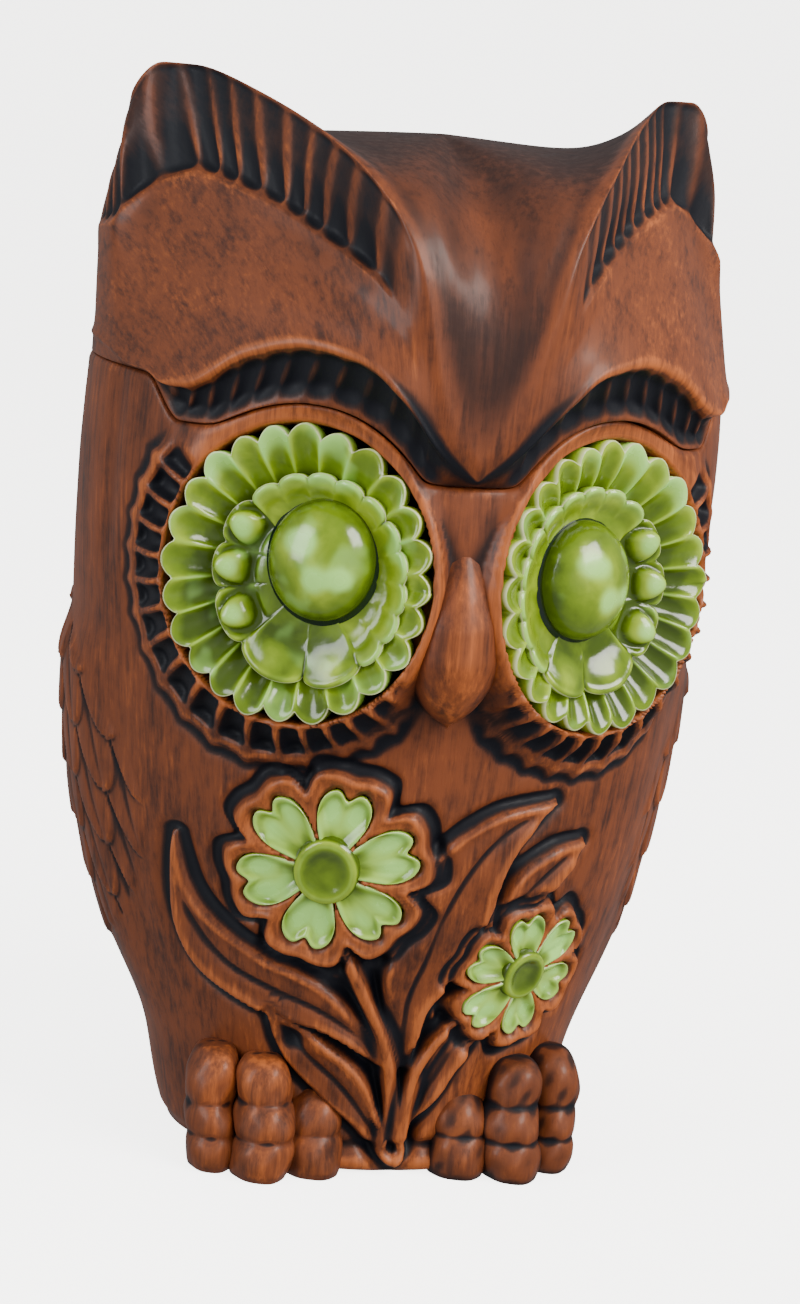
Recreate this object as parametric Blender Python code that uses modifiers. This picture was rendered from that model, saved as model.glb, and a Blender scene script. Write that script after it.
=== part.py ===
"""Owl storage jar: a hollow ceramic body, a lift-off head that is its lid, and the
moulded ornaments (eyes, beak, blossoms and feet) fixed on the body.

Metres, +Z up, the owl looks along -Y. The origin is on the flat underside of the base.
Left and right are the owl's own, so its left side is at +X.
"""

import math

import bmesh
import bpy
import numpy as np
from mathutils import Matrix, Vector

# Overall size
RIM_HEIGHT = 0.222      # the jar's rim at the sides and the back
HALF_WIDTH = 0.0932     # axis to the widest point of the side
FRONT_DEPTH = 0.084     # axis to the bridge between the eyes
BACK_DEPTH = 0.074      # axis to the back
LID_RISE = 0.083        # ear tips above the rim

# Shell
WALL = 0.0065           # wall at the sides, the back and the chest
FACE_WALL = 0.0205      # wall behind the eyes, which holds their pockets
FLOOR = 0.009
RIM_ROUND = 0.0012      # rounding of the rim's outer edge
WING_BULGE = 0.0032

# Lid seat
SEAT_GAP = 0.0006       # lid above the rim
COLLAR_DEPTH = 0.010    # locating collar below the seat
COLLAR_WALL = 0.0045
COLLAR_CLEARANCE = 0.0014
LID_WALL = 0.0080       # shell of the head

# Eyes: a dish of petals, a smaller cupped flower in it and a dome
EYE_ACROSS = 0.043      # axis to the eye's centre, sideways
EYE_BELOW_RIM = 0.047
EYE_RADIUS = 0.0405     # tall half of the slightly narrow dish
EYE_NARROW = 0.94
EYE_TURN = math.radians(28.5)
EYE_TILT = math.radians(3.6)
EYE_STAND = 0.001       # the dish's rim plane in front of the face at its centre
EYE_COLLAR = 0.0028     # jar material around the dish
EYE_PROUD = 0.0015      # dish's rim plane in front of that collar
PAD_SLOPE = 0.005       # width of the slope round a raised pad
EYE_MARGIN = 0.0045     # dish to the arch of the rim over it
DISH_THICKNESS = 0.010
DISH_FLOOR = 0.0070     # floor below the rim plane
INNER_RADIUS = 0.0275
INNER_SHIFT = 0.0042    # towards the beak
INNER_FLOOR = 0.0042
DOME_RADIUS = 0.0160
DOME_SHIFT = 0.0055
DOME_TOP = 0.0050
DISH_PETALS = 24
INNER_PETALS = 16

# Rim outline in front
BRIDGE_DROP = 0.0200    # rim under the brow's point, below the side rim
NOTCH_DROP = 0.0114     # rim at the outer end of each brow, below the side rim

# Beak, feet and blossoms
BEAK_HALF_WIDTH = 0.0126
BEAK_HALF_HEIGHT = 0.0200
BEAK_BELOW_RIM = 0.0640
BEAK_REACH = 0.0150     # beak in front of the face
TOE_RADIUS = 0.0082
TOE_PLACES = ((0.0235, 0.0490, 0.027), (0.0375, 0.0510, 0.035), (0.0495, 0.0420, 0.034))
                        # each toe's distance across, distance forward and height
LARGE_BLOSSOM = 0.0255
LARGE_PLACE = (-0.0265, 0.0920)   # across, height
SMALL_BLOSSOM = 0.0200
SMALL_PLACE = (0.0320, 0.0630)
BLOSSOM_THICKNESS = 0.0034
BLOSSOM_PETALS = 6
BLOSSOM_COLLAR = 0.0016 # jar material around a blossom
POCKET_DEPTH = 0.0022

GAP = 0.0004            # between pieces that touch

# Body profile: height as a share of RIM_HEIGHT, then shares of HALF_WIDTH, FRONT_DEPTH and
# BACK_DEPTH, and how far behind the axis the widest line lies, as a share of BACK_DEPTH
BODY_PROFILE = (
    (0.000, 0.590, 0.580, 0.670, 0.00),
    (0.018, 0.615, 0.604, 0.695, 0.01),
    (0.140, 0.685, 0.660, 0.757, 0.06),
    (0.240, 0.775, 0.720, 0.865, 0.15),
    (0.340, 0.855, 0.786, 0.946, 0.22),
    (0.450, 0.920, 0.840, 0.990, 0.26),
    (0.580, 0.957, 0.870, 1.000, 0.24),
    (0.700, 0.975, 0.900, 1.000, 0.19),
    (0.800, 0.985, 0.960, 0.985, 0.14),
    (0.880, 0.988, 1.000, 0.970, 0.11),
    (0.940, 0.985, 0.990, 0.960, 0.09),
    (1.000, 0.980, 0.965, 0.953, 0.08),
)

# Head outline curves at plan angles from the front: across, forward (-back), above the rim,
# for the size of head that HEAD_SIZE gives
HEAD_SIZE = (0.0932, 0.084, 0.074, 0.083)
HEAD_ANGLES = (0, 6, 13, 21.5, 31, 42, 52.5, 62, 73, 90, 114, 142, 180)
BROW_CREST = (
    (0, 88, -18), (9.5, 89, -11), (21.5, 91.5, 3.5), (33, 87, 13), (46, 77.5, 15.5),
    (60, 66, 11), (72.5, 56, 1), (81, 42, -1), (88, 20, 4), (91, -4, 6),
    (81, -37, 6), (55, -60, 6), (0, -73, 6),
)
FRINGE_EDGE = (
    (0, 89.5, -15.5), (10, 91, -3), (19, 91, 16), (28, 82, 31), (41, 60, 41),
    (56, 38, 49.5), (69, 17, 53), (80.5, 4, 46), (88.5, 1, 38), (90, -17, 35),
    (80, -40, 32), (54, -62, 30), (0, -72, 28),
)
EAR_RIDGE = (
    (0, 90.5, -12.5), (10.5, 91.5, 6), (17.5, 92, 30), (23.5, 87, 47), (35, 70, 63),
    (52, 33, 76), (68, 3, 82.5), (77, -3, 82.5), (84, -10, 73), (80, -27, 60),
    (64, -45, 53), (39, -58, 50), (0, -64, 49),
)
CROWN_EDGE = (
    (0, 91.5, 22), (6, 91.5, 27), (11, 90.5, 38), (15, 86, 49), (22, 74, 60),
    (33, 40, 65), (43, 9, 67), (49, -6, 66), (52, -16, 64), (49, -27, 61),
    (40, -37, 58), (24, -43, 58), (0, -46, 58),
)
CROWN = (
    (0, 72, 54.5), (4, 71.5, 55.5), (8, 68, 58.5), (11, 62, 62), (15, 52, 65),
    (20, 30, 66.5), (25, 10, 67), (28, -2, 67), (28, -10, 66.5), (26, -16, 66),
    (21, -20, 65.5), (12, -23, 65.5), (0, -25, 65.5),
)
APEX = (0, 15, 69)

COLUMNS = (16, 9)       # plan angles in each front quarter and each back quarter
BODY_ROWS = 20
GROUND_DEPTH = 0.010    # the trimming solids reach this far below the base

COLLECTION = "owl_jar"


# ---------------------------------------------------------------- curves and numbers

def smooth_table(x, xs, ys):
    """A smooth curve through (xs, ys) that never overshoots them, read at x."""
    xs, ys, x = (np.asarray(v, float) for v in (xs, ys, x))
    step = np.diff(xs)
    slope = np.diff(ys) / step
    tangent = np.zeros_like(ys)
    same_way = slope[1:] * slope[:-1] > 0
    before, after = slope[:-1][same_way], slope[1:][same_way]
    tangent[1:-1][same_way] = 2 * before * after / (before + after)
    place = np.clip(np.searchsorted(xs, x, side="right") - 1, 0, len(step) - 1)
    h = step[place]
    t = (x - xs[place]) / h
    return (
        (2 * t**3 - 3 * t**2 + 1) * ys[place]
        + (t**3 - 2 * t**2 + t) * h * tangent[place]
        + (3 * t**2 - 2 * t**3) * ys[place + 1]
        + (t**3 - t**2) * h * tangent[place + 1]
    )


def smooth_step(x, low, high):
    t = np.clip((x - low) / (high - low), 0, 1)
    return t * t * (3 - 2 * t)


def column_angles():
    """Plan angles all round, closer together in front. 0 is the front, positive to the left wing."""
    front, back = COLUMNS
    half_front = np.linspace(0, math.pi / 2, front, endpoint=False)
    half_back = np.linspace(math.pi / 2, math.pi, back + 1)
    half = np.concatenate([half_front, half_back])
    return np.concatenate([half, -half[-2:0:-1]])


# ---------------------------------------------------------------- the owl's surfaces

def body_radii(z):
    """The body's half-width, front depth, back depth and set-back of its widest line, at height z."""
    share = np.clip(np.asarray(z, float) / RIM_HEIGHT, 0, 1)
    table = np.array(BODY_PROFILE)
    sizes = (HALF_WIDTH, FRONT_DEPTH, BACK_DEPTH, BACK_DEPTH)
    return [size * smooth_table(share, table[:, 0], table[:, k + 1]) for k, size in enumerate(sizes)]


def section(angle, z, across, front, back, set_back):
    """Points of a horizontal section: half an oval in front of its widest line, half behind it."""
    ahead = np.cos(angle) > 0
    depth = np.where(ahead, front + set_back, back - set_back)
    return np.stack([across * np.sin(angle), set_back - depth * np.cos(angle), z + 0 * angle], 1)


def wing_bulge(angle, z):
    """How far the folded wing stands out of the side."""
    around = smooth_step(np.abs(angle), math.radians(62), math.radians(80))
    around = around * (1 - smooth_step(np.abs(angle), math.radians(130), math.radians(160)))
    share = z / RIM_HEIGHT
    return WING_BULGE * around * smooth_step(share, 0.10, 0.30) * (1 - smooth_step(share, 0.60, 0.68))


def plain_ring(angle, z, out=0.0):
    """Points of the body's outer surface without its raised pads."""
    across, front, back, set_back = body_radii(z)
    return section(angle, z, across + out, front + out, back + out, set_back)


def pad_rise(angle, z, frame, half_across, half_up, plane):
    """How far the body stands out to reach a flat pad: an oval at height `plane` in its frame."""
    points = plain_ring(angle, z)
    local = (points - np.array(frame.translation)) @ np.array(frame.to_3x3())
    outward = np.stack([np.sin(angle), -np.cos(angle), 0 * angle], 1)
    facing = outward @ np.array(frame.to_3x3())[:, 2]
    lack = (plane - local[:, 2]) / np.maximum(facing, 0.3)
    edge = np.hypot(local[:, 0] / half_across, local[:, 1] / half_up)
    slope = PAD_SLOPE / half_up
    share = (1 - smooth_step(edge, 1, 1 + slope)) * (facing > 0.3)
    return np.maximum(lack, 0) * share


def body_ring(angle, z, grow=0.0):
    """Points of the body's outer surface at plan angles and heights."""
    rise = np.zeros(len(angle))
    for hand in (1, -1):
        tall = EYE_RADIUS + EYE_COLLAR
        wide = EYE_RADIUS * EYE_NARROW + EYE_COLLAR
        rise = np.maximum(rise, pad_rise(angle, z, eye_frame(hand), wide, tall, -EYE_PROUD))
    for size, place in ((LARGE_BLOSSOM, LARGE_PLACE), (SMALL_BLOSSOM, SMALL_PLACE)):
        reach = size + BLOSSOM_COLLAR
        rise = np.maximum(rise, pad_rise(angle, z, surface_frame(*place), reach, reach, 0))
    return plain_ring(angle, z, grow + wing_bulge(angle, z) + rise)


def cavity_ring(angle, z, inset=0.0):
    """Points of the jar's inner surface. The wall is thicker in front of the upper half."""
    across, front, back, set_back = body_radii(z)
    face = smooth_step(np.asarray(z) / RIM_HEIGHT, 0.42, 0.56)
    front_wall = WALL + (FACE_WALL - WALL) * face
    side = across - WALL - inset
    return section(angle, z, side, front - front_wall - inset, back - WALL - inset, set_back)


def eye_height():
    return RIM_HEIGHT - EYE_BELOW_RIM


def seam_height(angle):
    """Height of the jar's rim: level at the sides and back, arched over each eye."""
    across = HALF_WIDTH * np.abs(np.sin(angle))
    arch = EYE_RADIUS + EYE_MARGIN
    beside = (across - EYE_ACROSS) / (EYE_NARROW * math.cos(EYE_TURN))
    over_eye = eye_height() + np.sqrt(np.maximum(arch**2 - beside**2, 0))
    lowest = np.where(across < EYE_ACROSS, RIM_HEIGHT - BRIDGE_DROP, RIM_HEIGHT - NOTCH_DROP)
    face = np.maximum(over_eye, lowest)
    side = smooth_step(np.abs(angle), math.radians(55), math.radians(62))
    return face * (1 - side) + RIM_HEIGHT * side


def head_curve(points, angle):
    """One of the head's outline curves, read at plan angles all round."""
    table = np.array(points, float) / 1000
    x, y, z = table.T
    x = x * HALF_WIDTH / HEAD_SIZE[0]
    y = -y * np.where(y > 0, FRONT_DEPTH / HEAD_SIZE[1], BACK_DEPTH / HEAD_SIZE[2])
    z = RIM_HEIGHT + z * LID_RISE / HEAD_SIZE[3]
    stations = np.radians(HEAD_ANGLES)
    read = [smooth_table(np.abs(angle), stations, v) for v in (x, y, z)]
    return np.stack([read[0] * np.sign(angle), read[1], read[2]], 1)


def lid_foot(angle, inset):
    """The lid's lower outer edge, just above the jar's rim."""
    rim = seam_height(angle)
    ring = body_ring(angle, rim, -inset)
    ring[:, 2] = rim + SEAT_GAP
    return ring


def brow_crest(angle):
    """The brow's edge. Over the eyes it follows the rim's arch, so it moves with the eye's size."""
    crest = head_curve(BROW_CREST, angle)
    clear = seam_height(angle) + SEAT_GAP + RIM_ROUND
    crest[:, 2] = np.maximum(crest[:, 2], clear)
    return crest


def collar_ring(angle, height, inset=0.0):
    ring = cavity_ring(angle, RIM_HEIGHT + 0 * angle, COLLAR_CLEARANCE + inset)
    ring[:, 2] = height
    return ring


def between(rings, rows):
    """Rings between each pair of neighbours, on a smooth line through all of them."""
    stack = np.array(rings)
    stations = np.arange(len(rings), dtype=float)
    wanted = np.concatenate([k + np.arange(n) / n for k, n in enumerate(rows)] + [[len(rings) - 1]])
    made = np.empty((len(wanted),) + stack.shape[1:])
    for column in range(stack.shape[1]):
        for axis in range(3):
            made[:, column, axis] = smooth_table(wanted, stations, stack[:, column, axis])
    return list(made)


def surface_frame(across, z):
    """Matrix at a point of the body's front: Z out of the surface, Y up."""
    reach = body_radii(z)[0]
    angle = math.asin(across / float(reach))
    step = 1e-4

    def point(a, h):
        return Vector(plain_ring(np.array([a]), np.array([h]))[0])

    here = point(angle, z)
    side = (point(angle + step, z) - here).normalized()
    up = (point(angle, z + step) - here).normalized()
    normal = side.cross(up).normalized()
    up = normal.cross(side)
    return frame_matrix(side, up, normal, here)


def frame_matrix(side, up, normal, origin):
    columns = Matrix((side, up, normal)).transposed().to_4x4()
    return Matrix.Translation(origin) @ columns


def eye_frame(hand):
    """Matrix of an eye: Z out of the dish, X away from the beak, Y up. hand is 1 for the left eye."""
    z = eye_height()
    angle = np.array([math.asin(EYE_ACROSS / float(body_radii(z)[0]))])
    depth = EYE_STAND - plain_ring(angle, z)[0, 1]
    normal = Vector((
        hand * math.sin(EYE_TURN) * math.cos(EYE_TILT),
        -math.cos(EYE_TURN) * math.cos(EYE_TILT),
        math.sin(EYE_TILT),
    ))
    side = Vector((math.cos(EYE_TURN), hand * math.sin(EYE_TURN), 0))
    return frame_matrix(side, normal.cross(side), normal, Vector((hand * EYE_ACROSS, -depth, z)))


# ---------------------------------------------------------------- building objects

def clear_scene():
    for found in list(bpy.data.objects):
        bpy.data.objects.remove(found, do_unlink=True)


def make_collection(name):
    made = bpy.data.collections.new(name)
    bpy.context.scene.collection.children.link(made)
    return made


def material(name, colour, roughness):
    made = bpy.data.materials.new(name)
    made.use_nodes = True
    shader = made.node_tree.nodes["Principled BSDF"]
    shader.inputs["Base Color"].default_value = (*colour, 1)
    shader.inputs["Roughness"].default_value = roughness
    shader.inputs["Metallic"].default_value = 0
    return made


def add_object(name, mesh, finish=None, place=None):
    made = bpy.data.objects.new(name, mesh)
    (PARTS if finish else CUTTERS).objects.link(made)
    if finish:
        mesh.materials.append(finish)
    else:
        made.hide_render = True
        made.display_type = "WIRE"
    if place is not None:
        made.matrix_world = place
    return made


def loft(name, rings, finish=None, place=None):
    """A closed skin over rings of equal point counts, with a fan at each end."""
    count = len(rings[0])
    points = [rings[0].mean(0)] + [p for ring in rings for p in ring] + [rings[-1].mean(0)]
    last = len(points) - 1
    faces = []
    for k in range(count):
        j = (k + 1) % count
        faces.append((0, 1 + j, 1 + k))
        for row in range(len(rings) - 1):
            a, b = 1 + row * count, 1 + (row + 1) * count
            faces.append((a + k, a + j, b + j))
            faces.append((a + k, b + j, b + k))
        end = 1 + (len(rings) - 1) * count
        faces.append((last, end + k, end + j))
    mesh = bpy.data.meshes.new(name)
    mesh.from_pydata([tuple(p) for p in points], [], faces)
    shape = bmesh.new()
    shape.from_mesh(mesh)
    bmesh.ops.recalc_face_normals(shape, faces=shape.faces)
    if shape.calc_volume(signed=True) < 0:
        bmesh.ops.reverse_faces(shape, faces=shape.faces)
    shape.to_mesh(mesh)
    shape.free()
    mesh.shade_smooth()
    return add_object(name, mesh, finish, place)


def turned(name, profile, finish, place, steps=24):
    """A round piece: a profile of (radius, height) points, top of its outer side first."""
    mesh = bpy.data.meshes.new(name)
    points = [(r, 0, h) for r, h in profile]
    mesh.from_pydata(points, [(k, k + 1) for k in range(len(points) - 1)], [])
    made = add_object(name, mesh, finish, place)
    screw = made.modifiers.new("turn", "SCREW")
    screw.steps = screw.render_steps = steps
    screw.use_merge_vertices = True
    screw.merge_threshold = 0.00001
    screw.use_smooth_shade = True
    return made


def ball(name, centre, radii, finish=None, around=20, up=12):
    mesh = bpy.data.meshes.new(name)
    shape = bmesh.new()
    bmesh.ops.create_uvsphere(shape, u_segments=around, v_segments=up, radius=1)
    bmesh.ops.scale(shape, vec=radii, verts=shape.verts)
    bmesh.ops.translate(shape, vec=centre, verts=shape.verts)
    shape.to_mesh(mesh)
    shape.free()
    mesh.shade_smooth()
    return add_object(name, mesh, finish)


def boolean(target, other, operation):
    modifier = target.modifiers.new(operation.lower(), "BOOLEAN")
    modifier.operation = operation
    modifier.solver = "EXACT"
    modifier.object = other


def oval(radius_across, radius_up, height, shift=0.0, count=48, petals=0, notch=0.0):
    """A ring of points about local Z, with a scalloped edge if petals is set."""
    turn = np.arange(count) * 2 * math.pi / count
    edge = 1 - notch * np.sin(petals * turn / 2) ** 2 if petals else 1 + 0 * turn
    x = radius_across * edge * np.cos(turn) + shift
    y = radius_up * edge * np.sin(turn)
    return np.stack([x, y, height + 0 * turn], 1)


# ---------------------------------------------------------------- the pieces

def body_rows(angle, grow=0.0):
    """Rings of the body's outer surface, from the base to just under the rim."""
    rim = seam_height(angle)
    return [body_ring(angle, rim * k / BODY_ROWS, grow) for k in range(BODY_ROWS)]


def jar_envelope(angle):
    """The body as a plain solid, GAP larger than it is, which trims what sits against it."""
    rows = body_rows(angle, GAP)
    rows[0][:, 2] -= GROUND_DEPTH
    return loft("jar_envelope", rows + [body_ring(angle, seam_height(angle), GAP)])


def build_jar(finish):
    angle = column_angles()
    rim = seam_height(angle)
    mouth = cavity_ring(angle, RIM_HEIGHT + 0 * angle)
    mouth[:, 2] = rim
    rings = body_rows(angle)
    rings += [body_ring(angle, rim - RIM_ROUND), body_ring(angle, rim, -RIM_ROUND), mouth]
    lip = mouth.copy()
    lip[:, 2] = rim - COLLAR_DEPTH - 2 * COLLAR_CLEARANCE
    rings.append(lip)
    lowest = rim.min() - COLLAR_DEPTH - 4 * COLLAR_CLEARANCE
    for z in np.linspace(lowest, FLOOR + WALL, 7):
        rings.append(cavity_ring(angle, z + 0 * angle))
    rings.append(cavity_ring(angle, FLOOR + 0 * angle, WALL))
    jar = loft("jar", rings, finish)
    for hand, side in ((1, "left"), (-1, "right")):
        reach = EYE_RADIUS + GAP
        pocket = [
            oval(reach * EYE_NARROW, reach, h) for h in (-DISH_THICKNESS - GAP, 0.012)
        ]
        boolean(jar, loft(f"{side}_eye_pocket", pocket, place=eye_frame(hand)), "DIFFERENCE")
    for name, size, place in (
        ("large_blossom_pocket", LARGE_BLOSSOM, LARGE_PLACE),
        ("small_blossom_pocket", SMALL_BLOSSOM, SMALL_PLACE),
    ):
        rings = [oval(size + GAP, size + GAP, h, count=32) for h in (-POCKET_DEPTH, 0.012)]
        boolean(jar, loft(name, rings, place=surface_frame(*place)), "DIFFERENCE")
    return jar


def inward(ring, distance, drop):
    """A ring moved towards the upright axis and down."""
    moved = ring.copy()
    reach = np.hypot(ring[:, 0], ring[:, 1])
    moved[:, :2] *= (1 - distance / reach)[:, None]
    moved[:, 2] -= drop
    return moved


def build_lid(finish):
    angle = column_angles()
    foot = lid_foot(angle, RIM_ROUND)
    seat = foot[:, 2]
    apex = head_curve([APEX] * len(HEAD_ANGLES), angle)
    apex[:, 0] = 0
    fringe = head_curve(FRINGE_EDGE, angle)
    edge = head_curve(CROWN_EDGE, angle)
    crown = head_curve(CROWN, angle)
    tip = apex * 0.85 + crown * 0.15
    ridge = head_curve(EAR_RIDGE, angle)
    outside = between([foot, brow_crest(angle), fringe, ridge, edge, crown, tip], (3, 3, 3, 2, 2, 1))
    low = seat - COLLAR_DEPTH
    hollow = inward(fringe, LID_WALL, 0)
    hollow[:, 2] = np.maximum(hollow[:, 2], seat + 1.4 * LID_WALL)
    roof = [inward(edge, LID_WALL, LID_WALL), inward(crown, 0, LID_WALL), inward(tip, 0, LID_WALL)]
    collar = [
        collar_ring(angle, seat),
        collar_ring(angle, low),
        collar_ring(angle, low, COLLAR_WALL),
        collar_ring(angle, seat + LID_WALL, COLLAR_WALL),
    ]
    return loft("lid", outside[::-1] + collar + [hollow] + roof, finish)


def build_eye(hand, side, glaze, beak_cutter):
    place = eye_frame(hand)
    wide, tall = EYE_RADIUS * EYE_NARROW, EYE_RADIUS
    towards_beak = -hand
    count = 2 * DISH_PETALS
    floor = INNER_RADIUS + 2 * GAP
    shift = towards_beak * INNER_SHIFT

    def scallop(share, height):
        return oval(wide * share, tall * share, height, 0, count, DISH_PETALS, 0.035)

    dish = loft(f"{side}_eye_dish", [
        oval(wide * 0.90, tall * 0.90, -DISH_THICKNESS, count=count),
        scallop(0.97, -0.0045),
        scallop(1.0, -0.0008),
        scallop(0.97, 0.0),
        oval(floor + 0.0015, floor + 0.003, -DISH_FLOOR * 0.8, shift, count),
        oval(floor, floor, -DISH_FLOOR, shift, count),
    ], glaze, place)
    boolean(dish, beak_cutter, "DIFFERENCE")
    centre = place @ Matrix.Translation((shift, 0, 0))
    petals = {"count": 2 * INNER_PETALS, "petals": INNER_PETALS, "notch": 0.08}
    back = -DISH_FLOOR + GAP
    well = DOME_RADIUS + 2 * GAP
    offset = towards_beak * (DOME_SHIFT - INNER_SHIFT)
    flower = loft(f"{side}_eye_inner_flower", [
        oval(INNER_RADIUS * 0.86, INNER_RADIUS * 0.86, back, count=petals["count"]),
        oval(INNER_RADIUS, INNER_RADIUS, -0.0024, **petals),
        oval(INNER_RADIUS * 0.96, INNER_RADIUS * 0.96, -0.0012, **petals),
        oval(well + 0.002, well + 0.002, -INNER_FLOOR * 0.8, offset, petals["count"]),
        oval(well, well, -INNER_FLOOR, offset, petals["count"]),
    ], glaze, centre)
    boolean(flower, beak_cutter, "DIFFERENCE")
    base = -INNER_FLOOR + GAP
    arc = np.radians(np.linspace(90, 0, 8))
    cap = [(DOME_RADIUS * math.cos(a), base + (DOME_TOP - base) * math.sin(a)) for a in arc[1:]]
    underside = base - GAP / 4
    profile = [(0, DOME_TOP)] + cap + [(DOME_RADIUS * 0.98, underside), (0, underside)]
    dome_place = place @ Matrix.Translation((towards_beak * DOME_SHIFT, 0, GAP))
    turned(f"{side}_eye_dome", profile, glaze, dome_place)


def beak_ball(name, grow, finish=None):
    z = RIM_HEIGHT - BEAK_BELOW_RIM
    front = float(body_radii(z)[1])
    radii = (BEAK_HALF_WIDTH + grow, BEAK_REACH + grow, BEAK_HALF_HEIGHT + grow)
    return ball(name, (0, -front, z), radii, finish, around=20, up=14)


def build_ground():
    """A block under the base, which cuts the toes off level with it."""
    mesh = bpy.data.meshes.new("ground")
    shape = bmesh.new()
    bmesh.ops.create_cube(shape, size=1)
    span = 4 * HALF_WIDTH
    bmesh.ops.scale(shape, vec=(span, span, GROUND_DEPTH), verts=shape.verts)
    bmesh.ops.translate(shape, vec=(0, 0, -GROUND_DEPTH / 2), verts=shape.verts)
    shape.to_mesh(mesh)
    shape.free()
    return add_object("ground", mesh)


def build_foot(hand, side, finish, envelope, ground):
    toes = []
    for k, (across, forward, height) in enumerate(TOE_PLACES):
        centre = (hand * across, -forward, height * 0.46)
        radii = (TOE_RADIUS * 1.12, TOE_RADIUS * 1.35, height * 0.54)
        toes.append(ball(f"{side}_toe_{k}", centre, radii, finish if k == 1 else None, 14, 9))
    foot = toes[1]
    foot.name = f"{side}_foot"
    foot.data.name = foot.name
    boolean(foot, toes[0], "UNION")
    boolean(foot, toes[2], "UNION")
    boolean(foot, envelope, "DIFFERENCE")
    boolean(foot, ground, "DIFFERENCE")


def petal_edge(turn, petals):
    """Radius share of a blossom's edge: heart-shaped petals that nearly meet at the centre."""
    local = (turn * petals / (2 * math.pi)) % 1.0 - 0.5
    lobe = np.clip(1 - (np.abs(local) / 0.43) ** 3.2, 0, 1) ** 0.42
    heart = 1 - 0.20 * np.exp(-((local / 0.085) ** 2))
    return 0.36 + 0.64 * lobe * heart


def build_blossom(name, size, place, petals_turn, glaze):
    frame = surface_frame(*place) @ Matrix.Rotation(petals_turn, 4, "Z")
    curve = bpy.data.curves.new(name, "CURVE")
    curve.dimensions = "2D"
    curve.fill_mode = "BOTH"
    curve.extrude = BLOSSOM_THICKNESS / 2
    line = curve.splines.new("POLY")
    turn = np.arange(16 * BLOSSOM_PETALS) * 2 * math.pi / (16 * BLOSSOM_PETALS)
    radius = (size - GAP) * petal_edge(turn, BLOSSOM_PETALS)
    line.points.add(len(turn) - 1)
    for point, r, t in zip(line.points, radius, turn):
        point.co = (r * math.cos(t), r * math.sin(t), 0, 1)
    line.use_cyclic_u = True
    made = bpy.data.objects.new(name, curve)
    PARTS.objects.link(made)
    curve.materials.append(glaze)
    back = GAP - POCKET_DEPTH
    made.matrix_world = frame @ Matrix.Translation((0, 0, back + BLOSSOM_THICKNESS / 2))
    button = size * 0.34
    top = back + BLOSSOM_THICKNESS + GAP
    profile = [
        (0, 0.0012), (button * 0.55, 0.0014), (button * 0.85, 0.0024), (button, 0.0012),
        (button, 0), (0, 0),
    ]
    turned(f"{name}_centre", profile, glaze, frame @ Matrix.Translation((0, 0, top)), 20)


clear_scene()
PARTS = make_collection(COLLECTION)
CUTTERS = make_collection(COLLECTION + "_cutters")
STAINED = material("stained_ceramic", (0.16, 0.055, 0.03), 0.32)
GREEN = material("green_glaze", (0.33, 0.47, 0.06), 0.12)

envelope = jar_envelope(column_angles())
ground = build_ground()
beak_cutter = beak_ball("beak_cutter", GAP)

build_jar(STAINED)
build_lid(STAINED)
for hand, side in ((1, "left"), (-1, "right")):
    build_eye(hand, side, GREEN, beak_cutter)
    build_foot(hand, side, STAINED, envelope, ground)
beak = beak_ball("beak", 0, STAINED)
boolean(beak, envelope, "DIFFERENCE")
build_blossom("large_blossom", LARGE_BLOSSOM, LARGE_PLACE, math.radians(-16), GREEN)
build_blossom("small_blossom", SMALL_BLOSSOM, SMALL_PLACE, math.radians(0), GREEN)
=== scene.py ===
import math

import bpy
import numpy as np
from mathutils import Matrix, Vector
from mathutils.bvhtree import BVHTree


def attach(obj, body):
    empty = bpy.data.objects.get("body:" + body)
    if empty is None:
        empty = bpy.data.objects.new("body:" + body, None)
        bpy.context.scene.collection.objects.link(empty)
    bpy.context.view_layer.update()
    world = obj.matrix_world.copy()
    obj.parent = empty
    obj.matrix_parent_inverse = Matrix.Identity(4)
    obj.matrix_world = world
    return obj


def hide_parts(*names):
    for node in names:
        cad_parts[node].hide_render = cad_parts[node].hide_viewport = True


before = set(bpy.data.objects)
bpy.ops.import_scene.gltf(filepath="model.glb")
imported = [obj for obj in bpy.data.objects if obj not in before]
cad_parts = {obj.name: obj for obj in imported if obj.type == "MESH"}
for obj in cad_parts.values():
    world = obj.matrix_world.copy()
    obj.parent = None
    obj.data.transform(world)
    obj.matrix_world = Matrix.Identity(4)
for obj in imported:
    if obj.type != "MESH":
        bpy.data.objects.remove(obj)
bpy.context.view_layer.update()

# A slip-cast owl jar: a brown-stained body and lift-off head with green-glazed eyes and blossoms.
# Metres. The owl looks along -Y, and its left side is at +X. Sizes repeat the frame's.

MM = 0.001

RIM_HEIGHT = 0.222
HALF_WIDTH = 0.0932
FRONT_DEPTH = 0.084
BACK_DEPTH = 0.074
WALL = 0.0065
FACE_WALL = 0.0205
FLOOR = 0.009
WING_BULGE = 0.0032
SEAT_GAP = 0.0006
COLLAR_DEPTH = 0.010
COLLAR_WALL = 0.0045
COLLAR_CLEARANCE = 0.0014
LID_WALL = 0.0080

EYE_ACROSS = 0.043
EYE_HEIGHT = RIM_HEIGHT - 0.047
EYE_RADIUS = 0.0405
EYE_NARROW = 0.94
EYE_TURN = math.radians(28.5)
EYE_TILT = math.radians(3.6)
EYE_STAND = 0.001
EYE_MARGIN = 0.0045
BRIDGE_DROP = 0.0200
NOTCH_DROP = 0.0114
OUTER_PETALS = 24

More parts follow.
